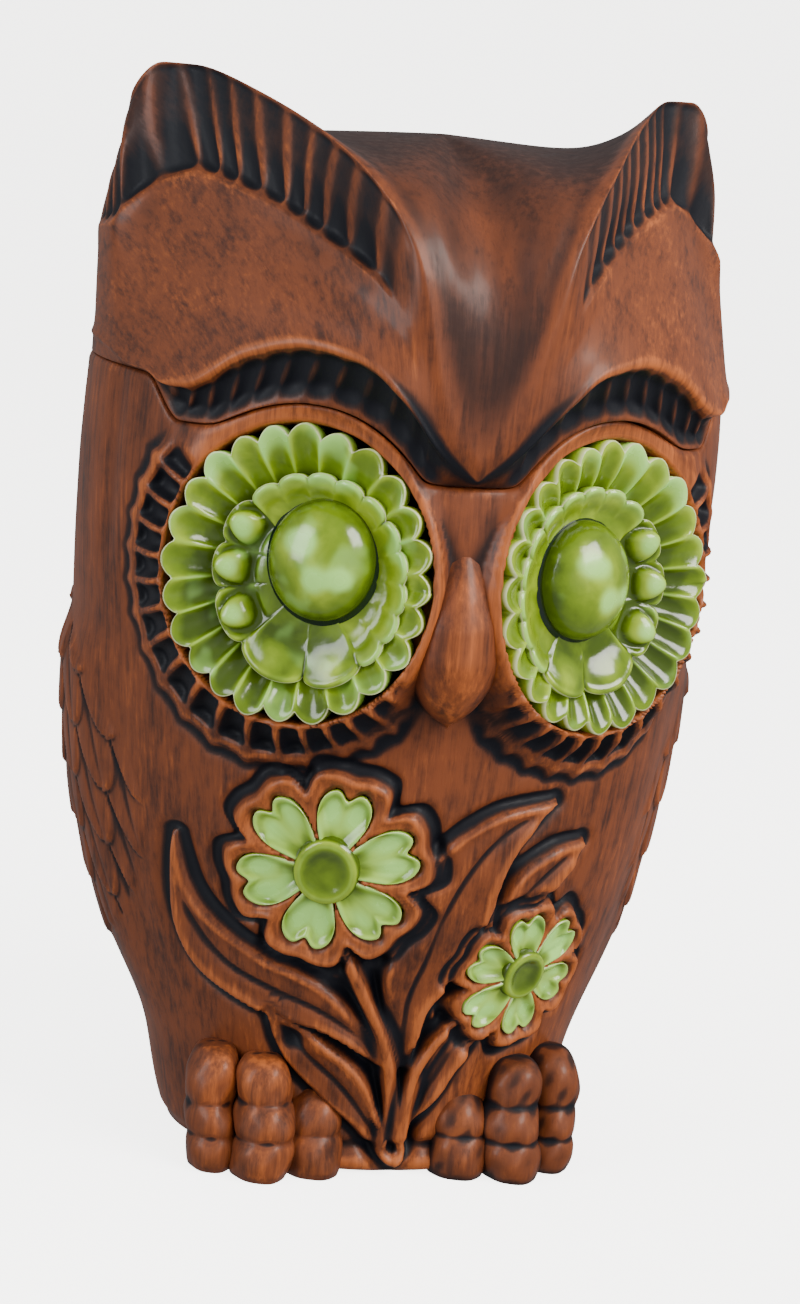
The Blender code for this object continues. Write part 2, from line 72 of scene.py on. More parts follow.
LARGE_BLOSSOM, LARGE_PLACE, LARGE_TURN = 0.0252, (-0.0268, 0.0925), math.radians(-13)
SMALL_BLOSSOM, SMALL_PLACE, SMALL_TURN = 0.0200, (0.0335, 0.0610), math.radians(11)
BLOSSOM_PETALS = 6

# Share of the rim's height, then of the half-width, front depth and back depth, and how far
# behind the axis the widest line lies, as a share of the back depth
BODY_PROFILE = (
    (0.000, 0.590, 0.580, 0.670, 0.00),
    (0.018, 0.615, 0.604, 0.695, 0.01),
    (0.140, 0.685, 0.660, 0.757, 0.06),
    (0.240, 0.775, 0.720, 0.865, 0.15),
    (0.340, 0.855, 0.786, 0.946, 0.22),
    (0.450, 0.920, 0.840, 0.990, 0.26),
    (0.580, 0.957, 0.870, 1.000, 0.24),
    (0.700, 0.975, 0.900, 1.000, 0.19),
    (0.800, 0.985, 0.960, 0.985, 0.14),
    (0.880, 0.988, 1.000, 0.970, 0.11),
    (0.940, 0.985, 0.990, 0.960, 0.09),
    (1.000, 0.980, 0.965, 0.953, 0.08),
)

# The head's outline curves at plan angles from the front, in mm: across, forward, above the rim
HEAD_ANGLES = (0, 6, 13, 21.5, 31, 42, 52.5, 62, 73, 90, 114, 142, 180)
BROW_CREST = (
    (0, 88, -18), (9.5, 89, -11), (21.5, 91.5, 3.5), (33, 87, 13), (46, 77.5, 15.5),
    (60, 66, 11), (72.5, 56, 1), (81, 42, -1), (88, 20, 4), (91, -4, 6),
    (81, -37, 6), (55, -60, 6), (0, -73, 6),
)
FRINGE_EDGE = (
    (0, 89.5, -15.5), (10, 91, -3), (19, 91, 16), (28, 82, 31), (41, 60, 41),
    (56, 38, 49.5), (69, 17, 53), (80.5, 4, 46), (88.5, 1, 38), (90, -17, 35),
    (80, -40, 32), (54, -62, 30), (0, -72, 28),
)
EAR_RIDGE = (
    (0, 90.5, -12.5), (10.5, 91.5, 6), (17.5, 92, 30), (23.5, 87, 47), (35, 70, 63),
    (52, 33, 76), (68, 3, 82.5), (77, -3, 82.5), (84, -10, 73), (80, -27, 60),
    (64, -45, 53), (39, -58, 50), (0, -64, 49),
)
CROWN_EDGE = (
    (0, 91.5, 22), (6, 91.5, 27), (11, 90.5, 38), (15, 86, 49), (22, 74, 60),
    (33, 40, 65), (43, 9, 67), (49, -6, 66), (52, -16, 64), (49, -27, 61),
    (40, -37, 58), (24, -43, 58), (0, -46, 58),
)
CROWN = (
    (0, 72, 54.5), (4, 71.5, 55.5), (8, 68, 58.5), (11, 62, 62), (15, 52, 65),
    (20, 30, 66.5), (25, 10, 67), (28, -2, 67), (28, -10, 66.5), (26, -16, 66),
    (21, -20, 65.5), (12, -23, 65.5), (0, -25, 65.5),
)
APEX = (0, 15, 69)

# Leaves and stems on the breast, in mm: across, height and half-width along each middle line
LEAVES = (
    ((-65, 95, 0.6), (-62, 81, 2.8), (-56, 69, 5.6), (-47, 60, 7.8), (-36, 55, 8.4),
     (-25, 51, 6.8), (-15, 45, 4.8), (-6, 36, 3.0)),
    ((14, 60, 2.0), (22, 75, 4.5), (31, 88, 6.6), (40, 96, 5.0), (47.5, 100.5, 0.6)),
    ((3, 13, 2.0), (9, 27, 4.6), (15, 39, 5.2), (26, 48, 1.5)),
    ((-2, 8, 2.4), (-8, 18, 5.0), (-16, 28, 7.2), (-26, 37, 6.6), (-36, 48, 2.0)),
    ((1.5, 34, 2.6), (-0.5, 52, 6.8), (3, 68, 11.5), (7, 83, 13.2), (13, 96, 10.4),
     (22, 106, 6.6), (36.5, 113.5, 0.6)),
)
STEMS = (
    ((1, 8, 4.6), (0, 16, 3.4), (-1.5, 28, 2.9), (-5, 41, 2.6), (-12, 55, 2.6), (-20, 70, 2.2)),
    ((3, 12, 2.6), (4, 28, 2.4), (9, 41, 2.2), (22, 53, 1.6)),
)

# Front and back edges of the folded wing: height in mm and plan angle in degrees
WING_FRONT = (
    (44, 100), (52, 86), (61, 73), (73, 64), (95, 57),
    (111, 59), (119, 65), (132, 72), (146, 88), (156, 104),
)
WING_BACK = (
    (44, 101), (52, 118), (61, 130), (73, 140), (95, 149),
    (111, 151), (119, 150), (132, 143), (146, 125), (156, 106),
)

# Where the lobes of an eye's inner flower meet, in degrees as eye_polar counts them
LOBE_EDGES = (44, 15, -12, -46, -90, -128, -147, -166, -184, -203, -222, -241, -260, -278, -297, -316)

# A toe, in mm: across, forward, then each knuckle from the floor up as its height, half-height,
# half-width and half-depth
TOES = (
    (21.0, 48.5, ((6.0, 8.4, 9.4, 10.8), (16.0, 8.6, 8.4, 9.2))),
    (36.0, 51.0, ((5.6, 8.2, 9.2, 11.6), (15.8, 7.6, 8.9, 10.6), (25.2, 8.8, 8.0, 9.0))),
    (49.5, 43.5, ((5.2, 7.4, 7.6, 10.4), (14.2, 7.0, 7.4, 10.0), (24.6, 10.2, 7.6, 9.2))),
)

STAIN_DARK = (0.030, 0.0085, 0.0040)
STAIN_MID = (0.150, 0.036, 0.0090)
STAIN_WARM = (0.350, 0.088, 0.018)
# The deep and black tones are stain gathered in the hollows, and painted shade as well.
DEEP_STAIN_AND_SHADE = (0.012, 0.0048, 0.0038)
BLACK_STAIN_AND_SHADE = (0.0022, 0.0026, 0.0055)
GLAZE_LIGHT = (0.29, 0.40, 0.020)
GLAZE_MID = (0.120, 0.195, 0.004)
GLAZE_OLIVE = (0.042, 0.074, 0.001)
GLAZE_MINT = (0.34, 0.66, 0.14)
GLAZE_RIM = (0.62, 0.64, 0.34)
GLAZE_DEEP = (0.005, 0.016, 0.008)

FRONT_COLUMNS = 190     # plan angles in each front half of the castings
BACK_COLUMNS = 46
BODY_ROWS = 236
HEAD_ROWS = (22, 44, 44, 30, 22, 16)     # between neighbouring outline curves, from the foot up
FINE_DEPTH = 0.12 * MM                   # hollow that counts as 1 in the mark for fine detail

PAPER_REACH = 30.0        # far enough that no edge of the paper shows from the side
PAPER_BEND_START = 6.0    # behind the owl, and behind any camera that looks at its back
PAPER_BEND = 0.6
PAPER_HEIGHT = 3.2

CAMERA_TURN = math.radians(-13)
CAMERA_RISE = math.radians(11.3)
CAMERA_ROLL = math.radians(4.8)
CAMERA_AIM = (0.0036, 0, 0.1407)
CAMERA_DISTANCE = 0.960
CAMERA_LENS = 91.1
CAMERA_SENSOR = 36


# ---------------------------------------------------------------- curves and numbers

def smooth_table(x, xs, ys):
    """A smooth curve through (xs, ys) that never overshoots them, read at x."""
    xs, ys, x = (np.asarray(v, float) for v in (xs, ys, x))
    step = np.diff(xs)
    slope = np.diff(ys) / step
    tangent = np.zeros_like(ys)
    same_way = slope[1:] * slope[:-1] > 0
    before, after = slope[:-1][same_way], slope[1:][same_way]
    tangent[1:-1][same_way] = 2 * before * after / (before + after)
    place = np.clip(np.searchsorted(xs, x, side="right") - 1, 0, len(step) - 1)
    h = step[place]
    t = np.clip((x - xs[place]) / h, 0, 1)
    return (
        (2 * t**3 - 3 * t**2 + 1) * ys[place]
        + (t**3 - 2 * t**2 + t) * h * tangent[place]
        + (3 * t**2 - 2 * t**3) * ys[place + 1]
        + (t**3 - t**2) * h * tangent[place + 1]
    )


def smooth_step(x, low, high):
    t = np.clip((x - low) / (high - low), 0, 1)
    return t * t * (3 - 2 * t)


def bump(x, centre, width):
    return np.exp(-(((x - centre) / width) ** 2))


def column_angles():
    """Plan angles all round, close together in front. 0 is the front, positive to the owl's left."""
    turn = math.radians(104)
    half = np.concatenate([
        np.linspace(0, turn, FRONT_COLUMNS, endpoint=False),
        np.linspace(turn, math.pi, BACK_COLUMNS + 1),
    ])
    return np.concatenate([half, -half[-2:0:-1]])


def body_radii(z):
    share = np.clip(np.asarray(z, float) / RIM_HEIGHT, 0, 1)
    table = np.array(BODY_PROFILE)
    sizes = (HALF_WIDTH, FRONT_DEPTH, BACK_DEPTH, BACK_DEPTH)
    return [size * smooth_table(share, table[:, 0], table[:, k + 1]) for k, size in enumerate(sizes)]


def section(angle, z, across, front, back, set_back):
    depth = np.where(np.cos(angle) > 0, front + set_back, back - set_back)
    return np.stack([across * np.sin(angle), set_back - depth * np.cos(angle), z + 0 * angle], -1)


def wing_cover(angle, z):
    """1 on the folded wing, 0 off it."""
    front, back = (np.array(table, float).T for table in (WING_FRONT, WING_BACK))
    start = np.radians(smooth_table(z / MM, front[0], front[1]))
    end = np.radians(smooth_table(z / MM, back[0], back[1]))
    turn = np.abs(angle)
    within = (z > front[0, 0] * MM) & (z < front[0, -1] * MM)
    return smooth_step(turn, start, start + 0.06) * (1 - smooth_step(turn, end - 0.10, end)) * within


def plain_ring(angle, z, out=0.0):
    across, front, back, set_back = body_radii(z)
    return section(angle, z, across + out, front + out, back + out, set_back)


def wing_bulge(angle, z):
    around = smooth_step(np.abs(angle), math.radians(62), math.radians(80))
    around = around * (1 - smooth_step(np.abs(angle), math.radians(130), math.radians(160)))
    share = z / RIM_HEIGHT
    return WING_BULGE * around * smooth_step(share, 0.10, 0.30) * (1 - smooth_step(share, 0.60, 0.68))


def cavity_ring(angle, z, inset=0.0):
    across, front, back, set_back = body_radii(z)
    face = smooth_step(np.asarray(z) / RIM_HEIGHT, 0.42, 0.56)
    wall = WALL + (FACE_WALL - WALL) * face
    side = across - WALL - inset
    return section(angle, z, side, front - wall - inset, back - WALL - inset, set_back)


def seam_height(angle):
    """Height of the jar's rim: level at the sides and back, arched over each eye."""
    across = HALF_WIDTH * np.abs(np.sin(angle))
    arch = EYE_RADIUS + EYE_MARGIN
    beside = (across - EYE_ACROSS) / (EYE_NARROW * math.cos(EYE_TURN))
    over_eye = EYE_HEIGHT + np.sqrt(np.maximum(arch**2 - beside**2, 0))
    lowest = np.where(across < EYE_ACROSS, RIM_HEIGHT - BRIDGE_DROP, RIM_HEIGHT - NOTCH_DROP)
    seam = (over_eye + lowest + np.sqrt((over_eye - lowest) ** 2 + (3 * MM) ** 2)) / 2
    side = smooth_step(np.abs(angle), math.radians(53), math.radians(63))
    return seam * (1 - side) + RIM_HEIGHT * side


def head_curve(points, angle):
    x, y, z = np.array(points, float).T * MM
    stations = np.radians(HEAD_ANGLES)
    read = [smooth_table(np.abs(angle), stations, v) for v in (x, -y, RIM_HEIGHT + z)]
    return np.stack([read[0] * np.sign(angle), read[1], read[2]], 1)


# ---------------------------------------------------------------- frames on the face

def frame_matrix(side, up, normal, origin):
    return Matrix.Translation(origin) @ Matrix((side, up, normal)).transposed().to_4x4()


def surface_frame(across, z):
    """Matrix at a point of the breast: Z out of it, Y up."""
    angle = math.asin(across / float(body_radii(z)[0]))
    step = 1e-4

    def point(a, h):
        return Vector(plain_ring(np.array([a]), np.array([h]))[0])

    here = point(angle, z)
    side = (point(angle + step, z) - here).normalized()
    up = (point(angle, z + step) - here).normalized()
    normal = side.cross(up).normalized()
    return frame_matrix(side, normal.cross(side), normal, here)


def eye_frame(hand):
    """Matrix of an eye: Z out of its dish, Y up, X to the owl's left. hand is 1 for the left eye."""
    angle = np.array([math.asin(EYE_ACROSS / float(body_radii(EYE_HEIGHT)[0]))])
    depth = EYE_STAND - plain_ring(angle, EYE_HEIGHT)[0, 1]
    normal = Vector((
        hand * math.sin(EYE_TURN) * math.cos(EYE_TILT),
        -math.cos(EYE_TURN) * math.cos(EYE_TILT),
        math.sin(EYE_TILT),
    ))
    side = Vector((math.cos(EYE_TURN), hand * math.sin(EYE_TURN), 0))
    origin = Vector((hand * EYE_ACROSS, -depth, EYE_HEIGHT))
    return frame_matrix(side, normal.cross(side), normal, origin)


def to_local(points, place):
    return (points - np.array(place.translation)) @ np.array(place.to_3x3())


def to_world(points, place):
    return points @ np.array(place.to_3x3()).T + np.array(place.translation)


# ---------------------------------------------------------------- grids of points

def blur(grid, reach):
    """A Gaussian blur of a (rows, columns, ...) grid. Columns run all round, rows stop at the ends."""
    steps = np.arange(-2 * reach, 2 * reach + 1)
    weights = np.exp(-((steps / reach) ** 2))
    weights = weights / weights.sum()
    rows = np.arange(len(grid))
    along = sum(w * grid[np.clip(rows + k, 0, len(grid) - 1)] for k, w in zip(steps, weights))
    return sum(w * np.roll(along, k, axis=1) for k, w in zip(steps, weights))


def grid_normals(grid):
    around = np.roll(grid, -1, axis=1) - np.roll(grid, 1, axis=1)
    along = np.gradient(grid, axis=0)
    normal = np.cross(around, along)
    return normal / np.maximum(np.linalg.norm(normal, axis=-1, keepdims=True), 1e-12)


def hollows(grid, reach, depth):
    """How far each point lies in a hollow (above 0) or on an edge (below 0), in units of depth."""
    return ((blur(grid, reach) - grid) * grid_normals(grid)).sum(-1) / depth


def skin(name, rings, finish, **marks):
    """A closed mesh over rings of points, with a fan at each end and a value of each mark per point."""
    stack = np.array(rings)
    rows, count, _ = stack.shape
    points = np.concatenate([stack[0].mean(0)[None], stack.reshape(-1, 3), stack[-1].mean(0)[None]])
    k = np.arange(count)
    j = (k + 1) % count
    base = 1 + count * np.arange(rows - 1)[:, None]
    quads = np.stack([base + k, base + j, base + count + j, base + count + k], -1).reshape(-1, 4)
    end = 1 + count * (rows - 1)
    last = np.full(count, len(points) - 1)
    fans = np.concatenate([
        np.stack([np.zeros(count, int), 1 + j, 1 + k], 1),
        np.stack([last, end + k, end + j], 1),
    ])
    mesh = bpy.data.meshes.new(name)
    mesh.from_pydata(points.tolist(), [], quads.tolist() + fans.tolist())
    a, b, c = (points[quads[:, corner]] for corner in range(3))
    volume = np.einsum("ij,ij->i", a, np.cross(b, c)).sum()
    if volume < 0:
        mesh.flip_normals()
    mesh.shade_smooth()
    for mark, values in marks.items():
        values = np.asarray(values, float)
        wide = values.ndim == 3
        first, last_row = (row.mean(0, keepdims=True) for row in (values[0], values[-1]))
        flat = np.concatenate([first, values.reshape((-1, 3) if wide else -1), last_row])
        kind = "FLOAT_VECTOR" if wide else "FLOAT"
        field = mesh.attributes.new(mark, kind, "POINT")
        field.data.foreach_set("vector" if wide else "value", flat.ravel().astype(np.float32))
    mesh.materials.append(finish)
    made = bpy.data.objects.new(name, mesh)
    bpy.context.scene.collection.objects.link(made)
    return made


def fit(piece, body, node):
    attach(piece, body)
    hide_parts(node)
    return piece


# ---------------------------------------------------------------- finishes

class Value:
    """A number that changes over a surface: a shader socket that does arithmetic."""

    def __init__(self, finish, socket):
        self.finish = finish
        self.socket = socket

    def _with(self, operation, first, second):
        return self.finish.node("ShaderNodeMath", {"operation": operation}, {0: first, 1: second})

    def __add__(self, other):
        return self._with("ADD", self, other)

    def __radd__(self, other):
        return self._with("ADD", other, self)

    def __sub__(self, other):
        return self._with("SUBTRACT", self, other)

    def __rsub__(self, other):
        return self._with("SUBTRACT", other, self)

    def __mul__(self, other):
        return self._with("MULTIPLY", self, other)

    def __rmul__(self, other):
        return self._with("MULTIPLY", other, self)

    def between(self, low, high):
        """0 where this is at or under low, 1 at or over high, smooth between."""
        settings = {"interpolation_type": "SMOOTHSTEP"}
        return self.finish.node("ShaderNodeMapRange", settings, {0: self, 1: low, 2: high, 3: 0.0, 4: 1.0})


class Finish:
    """A material's node tree, with one method that adds any node."""

    def __init__(self, name, roughness, coat_roughness=0.1):
        self.material = bpy.data.materials.new(name)
        self.material.use_nodes = True
        self.tree = self.material.node_tree
        self.shader = self.tree.nodes["Principled BSDF"]
        self.shader.inputs["Roughness"].default_value = roughness
        self.shader.inputs["Coat Roughness"].default_value = coat_roughness

    def node(self, kind, settings, values, output=0):
        made = self.tree.nodes.new(kind)
        for name, setting in settings.items():
            setattr(made, name, setting)
        for key, value in values.items():
            if isinstance(value, Value):
                self.tree.links.new(value.socket, made.inputs[key])
            else:
                made.inputs[key].default_value = value
        return Value(self, made.outputs[output])

    def mark(self, name, output="Fac"):
        return self.node("ShaderNodeAttribute", {"attribute_name": name}, {}, output)

    def noise(self, scale, detail, place, roughness=0.5, distortion=0.0):
        return self.node("ShaderNodeTexNoise", {}, {
            "Vector": place, "Scale": scale, "Detail": detail,
            "Roughness": roughness, "Distortion": distortion,
        })

    def mix(self, share, first, second):
        """A colour between two, where either may vary."""
        settings = {"data_type": "RGBA"}
        first, second = (c if isinstance(c, Value) else (*c, 1.0) for c in (first, second))
        return self.node("ShaderNodeMix", settings, {0: share, 6: first, 7: second}, 2)

    def feed(self, socket, value):
        self.tree.links.new(value.socket, self.shader.inputs[socket])

    def relief(self, height, strength, distance):
        values = {"Strength": strength, "Distance": distance, "Height": height}
        self.feed("Normal", self.node("ShaderNodeBump", {}, values, "Normal"))


def brown_stain():
    """Sienna stain brushed over a dark one: near black in the hollows, rubbed warm on high places. The
    hollow mark also carries painted shade, drawn in the same deep and black tones: in and round the eyes'
    flutes, under the brows, on the beak's sides and on the feet.
    """
    f = Finish("brushed_brown_stain", 0.40, 0.22)
    f.shader.inputs["Specular IOR Level"].default_value = 0.30
    place = f.node("ShaderNodeTexCoord", {}, {}, "Object")
    hollow = f.mark("hollow")
    fine = f.mark("fine")
    grain = f.mark("grain", "Vector")
    strokes = f.noise(1.0, 5.0, grain, 0.68)
    broad = f.noise(0.30, 3.0, grain, 0.55)
    cloud = f.noise(34.0, 4.0, place, 0.62)
    patch = f.noise(11.0, 2.0, place, 0.5)
    mottle = f.noise(240.0, 4.0, place, 0.62)
    tone = strokes * 0.62 + broad * 0.42 + cloud * 0.48 + patch * 0.28 + mottle * 0.22
    brown = f.mix(tone.between(0.75, 1.12), STAIN_DARK, STAIN_MID)
    high = (0 - hollow).between(0.10, 0.95) * 0.75 + (0 - fine).between(0.15, 0.9) * 0.20
    lit = (cloud * 0.7 + patch * 0.6 + strokes * 0.9 - 1.08).between(0.0, 0.34)
    brown = f.mix((high * (0.10 + 1.4 * strokes) + lit * 0.65).between(0.10, 1.10), brown, STAIN_WARM)
    # Depth is stain gathered in the hollows, and painted shade where the hollow mark carries it.
    depth = hollow + fine * 0.25 + (mottle - 0.5) * 0.38 + (strokes - 0.5) * 0.85 + (cloud - 0.5) * 0.35
    brown = f.mix(depth.between(0.08, 0.62) * 0.88, brown, DEEP_STAIN_AND_SHADE)
    brown = f.mix(depth.between(0.50, 1.15), brown, BLACK_STAIN_AND_SHADE)
    f.feed("Base Color", brown)
    f.feed("Roughness", 0.46 + strokes * 0.14 + cloud * 0.12 + depth.between(0.2, 0.9) * 0.10)
    f.feed("Coat Weight", (0.10 + 0.10 * cloud) * (1 - 0.8 * depth.between(0.2, 0.8)))
    f.relief(strokes * 0.35 + mottle * 0.40 + cloud * 0.5, 0.30, 0.0007)
    return f.material


def inside_glaze():
    """Thin dark-brown glaze poured round the inside, with faint runs."""
    f = Finish("poured_inside_glaze", 0.22)
    place = f.node("ShaderNodeTexCoord", {}, {}, "Object")
    runs = f.noise(38.0, 4.0, place, 0.6, 0.6)
    f.feed("Base Color", f.mix(runs.between(0.35, 0.7), (0.055, 0.022, 0.012), (0.12, 0.052, 0.026)))
    f.feed("Roughness", 0.16 + runs * 0.18)
    f.relief(runs, 0.12, 0.0008)
    return f.material


def green_glaze():
    """Thick green glaze: dark where it pools, pale where it breaks over an edge. The pale mark also carries
    painted light: painted highlights on the upper outer petals of each eye and painted reflections on its
    beads and dome, and, below 0, painted shade that darkens the glaze towards olive.
    """
    f = Finish("pooled_green_glaze", 0.08, 0.03)
    f.shader.inputs["IOR"].default_value = 1.52
    place = f.node("ShaderNodeTexCoord", {}, {}, "Object")
    hollow = f.mark("hollow")
    edge = f.mark("edge")
    pale = f.mark("pale")
    cloud = f.noise(100.0, 3.0, place, 0.5, 0.5)
    blotch = f.noise(64.0, 2.0, place, 0.5, 0.2)
    speck = f.noise(560.0, 3.0, place, 0.6)
    # A pale mark below 0 is painted shade, and darkens the glaze here as pooling does.
    pool = hollow - pale * 0.75 + (cloud - 0.5) * 1.5 + (speck - 0.5) * 0.2 + 0.10
    green = f.mix(pool.between(-0.55, 0.30), GLAZE_LIGHT, GLAZE_MID)
    green = f.mix(pool.between(0.20, 0.95), green, GLAZE_OLIVE)
    # Paleness is paler glaze and, where the pale mark carries it, painted highlights and reflections.
    paleness = pale.between(0.15, 1.05) * 0.9 + (blotch - 0.5).between(0.03, 0.18) * 0.40
    green = f.mix((paleness - hollow * 0.35).between(0.0, 1.0), green, GLAZE_MINT)
    green = f.mix(edge.between(0.80, 1.0) * 0.80, green, GLAZE_RIM)
    green = f.mix((hollow - 1.15).between(0.0, 0.5), green, GLAZE_DEEP)
    f.feed("Base Color", green)
    f.feed("Roughness", 0.15 + speck * 0.08 + edge.between(0.9, 1.0) * 0.15 + pale.between(0.3, 1.0) * 0.10)
    f.feed("Coat Weight", 0.12 + cloud * 0.22)
    f.relief(cloud + speck * 0.12, 0.30, 0.0009)
    return f.material


def floor_paper():
    """Pale paper that glows, so that the shadows on it stay faint."""
    f = Finish("pale_backdrop_paper", 0.75)
    place = f.node("ShaderNodeTexCoord", {}, {}, "Object")
    cloud = f.noise(3.0, 3.0, place)
    fibre = f.noise(160.0, 3.0, place)
    paper = f.mix(cloud * 0.7 + fibre * 0.3, (0.90, 0.885, 0.86), (0.93, 0.92, 0.90))
    f.feed("Base Color", paper)
    f.feed("Emission Color", paper)
    f.shader.inputs["Emission Strength"].default_value = 4.60
    f.relief(fibre, 0.05, 0.0005)
    return f.material


# ---------------------------------------------------------------- relief on the body

def ribbon(x, z, line):
    """Distance from a middle line as a share of its half-width, side and distance along it."""
    line = np.array(line, float)
    ends = np.arange(len(line), dtype=float)
    fine = np.linspace(0, len(line) - 1, 14 * (len(line) - 1) + 1)
    mx, mz, width = (smooth_table(fine, ends, line[:, c]) for c in range(3))
    best = np.full(x.shape, 1e9)
    side = np.zeros(x.shape)
    half = np.ones(x.shape)
    along = np.zeros(x.shape)
    length = 0.0
    for k in range(len(fine) - 1):
        dx, dz = mx[k + 1] - mx[k], mz[k + 1] - mz[k]
        span = math.hypot(dx, dz)
        t = np.clip(((x - mx[k]) * dx + (z - mz[k]) * dz) / span**2, 0, 1)
        ox, oz = x - mx[k] - t * dx, z - mz[k] - t * dz
        away = np.hypot(ox, oz)
        nearer = away < best
        best = np.where(nearer, away, best)
        side = np.where(nearer, np.sign(ox * dz - oz * dx), side)
        half = np.where(nearer, width[k] + t * (width[k + 1] - width[k]), half)
        along = np.where(nearer, length + t * span, along)
        length += span
    return best, side, half, along / length


def carve_leaf(height, shade, x, z, line, lift):
    """Raises a leaf with rolled sides and a soft centre vein, and sinks and darkens the clay round it."""
    away, side, half, along = ribbon(x, z, line)
    inside = half - away
    share = np.clip(away / np.maximum(half, 0.3), 0, 1)
    wide = smooth_step(half, 2.5, 5)
    cover = smooth_step(inside, -0.5, 1.5)
    roll = 0.55 * bump(inside, 1.9, 1.4)
    vein = 0.9 * bump(away, 0.0, 1.1) + 0.30 * np.sin(along * 23 + side * share * 3) * share
    tilt = 0.8 * side * share
    round_back = -lift * 0.55 * share**2
    leaf = lift + wide * (roll - vein + tilt) + (1 - wide) * round_back
    sunk = height - 1.6 * bump(inside, -1.4, 1.7) * (height < lift)
    shade = np.maximum(shade, 0.85 * bump(inside, -0.9, 1.5)) * (1 - cover)
    veined = 0.40 * bump(away, 0.0, 0.8) + 0.45 * smooth_step(-side * share, 0.1, 0.9)
    shade = shade + cover * wide * veined
    return np.where(inside > -0.5, sunk * (1 - cover) + leaf * cover, sunk), shade


def feather_height(angle, z):
    """Overlapping pointed feathers on the wing, in mm, lowest row first."""
    turn = np.abs(angle)
    around = turn * 84
    up = z / MM
    height = np.zeros(turn.shape)
    pitch, drop, long = 17.0, 16.0, 30.0
    for row in range(8):
        top = 66 + row * drop
        shift = 0.5 * pitch * (row % 2) + 0.35 * (up - 100)
        beside = around - shift - np.round((around - shift) / pitch) * pitch
        down = (top - up) / long
        half = pitch * 0.58 * np.sqrt(np.clip(1 - np.clip(down, 0, 1) ** 2.4, 0, 1))
        inside = half - np.abs(beside)
        feather = 0.3 + 1.5 * np.clip(down, 0, 1)
        feather = feather - 0.35 * bump(beside, 0, 1.2) - 0.5 * (beside / pitch) ** 2
        cover = smooth_step(inside, -0.6, 1.2) * (down > -0.35) * (down < 1)
        height = height * (1 - cover) + feather * cover
    return height - 0.9


def petal_share(turn):
    """Place across a blossom's petal at an angle: 0 on its middle line, 0.5 either way at its sides."""
    return (turn * BLOSSOM_PETALS / (2 * math.pi)) % 1.0 - 0.5


def petal_edge(turn):
    """Radius share of a blossom's edge: heart-shaped petals that nearly meet at the centre."""
    local = petal_share(turn)
    lobe = np.clip(1 - (np.abs(local) / 0.45) ** 2.8, 0, 1) ** 0.46
    heart = 1 - 0.19 * np.exp(-((local / 0.085) ** 2))
    longer = 1 + 0.035 * np.sin(2 * turn + 1.0)
    return (0.31 + 0.69 * lobe * heart) * longer


def pad_edge(turn):
    """Radius share of the brown pad round a blossom, which follows its petals more loosely."""
    local = petal_share(turn)
    return 1.19 - 0.24 * bump(np.abs(local), 0.5, 0.10) - 0.05 * bump(local, 0, 0.12)


def blossom_pad(points, size, place, turn):
    """The rolled, lobed lip round a blossom: how far it lifts each point, how dark, and what it covers."""
    frame_here = surface_frame(*place) @ Matrix.Rotation(turn, 4, "Z")
    local = to_local(points, frame_here)
    near = (np.hypot(local[..., 0], local[..., 1]) < size * 1.6) & (local[..., 2] > -0.02)
    radius = np.hypot(local[..., 0], local[..., 1])
    around = np.arctan2(local[..., 1], local[..., 0])
    outer = (size * pad_edge(around) - radius) / MM
    inner = (size * petal_edge(around) - radius) / MM
    pad = 1.7 * smooth_step(outer, -0.6, 1.4) + 1.2 * bump(outer, 1.9, 1.5)
    pad = pad - 1.8 * bump(outer, -1.9, 1.7)
    pad = pad - 0.9 * bump(inner, -0.6, 0.9) - 4.0 * smooth_step(inner, -0.35, 0.55)
    lift = (pad * near * MM)[..., None] * np.array(frame_here.to_3x3())[:, 2]
    shade = near * (0.9 * bump(outer, -1.5, 1.4) + 0.75 * bump(inner, -0.5, 1.0))
    return lift, shade, near * smooth_step(outer, -1.2, 0.6)


def eye_polar(x, y, hand):
    """Degrees round an eye from its outer side, upwards above 0, from -316 to 44."""
    return (np.degrees(np.arctan2(y, x * hand)) - 44) % 360 - 316


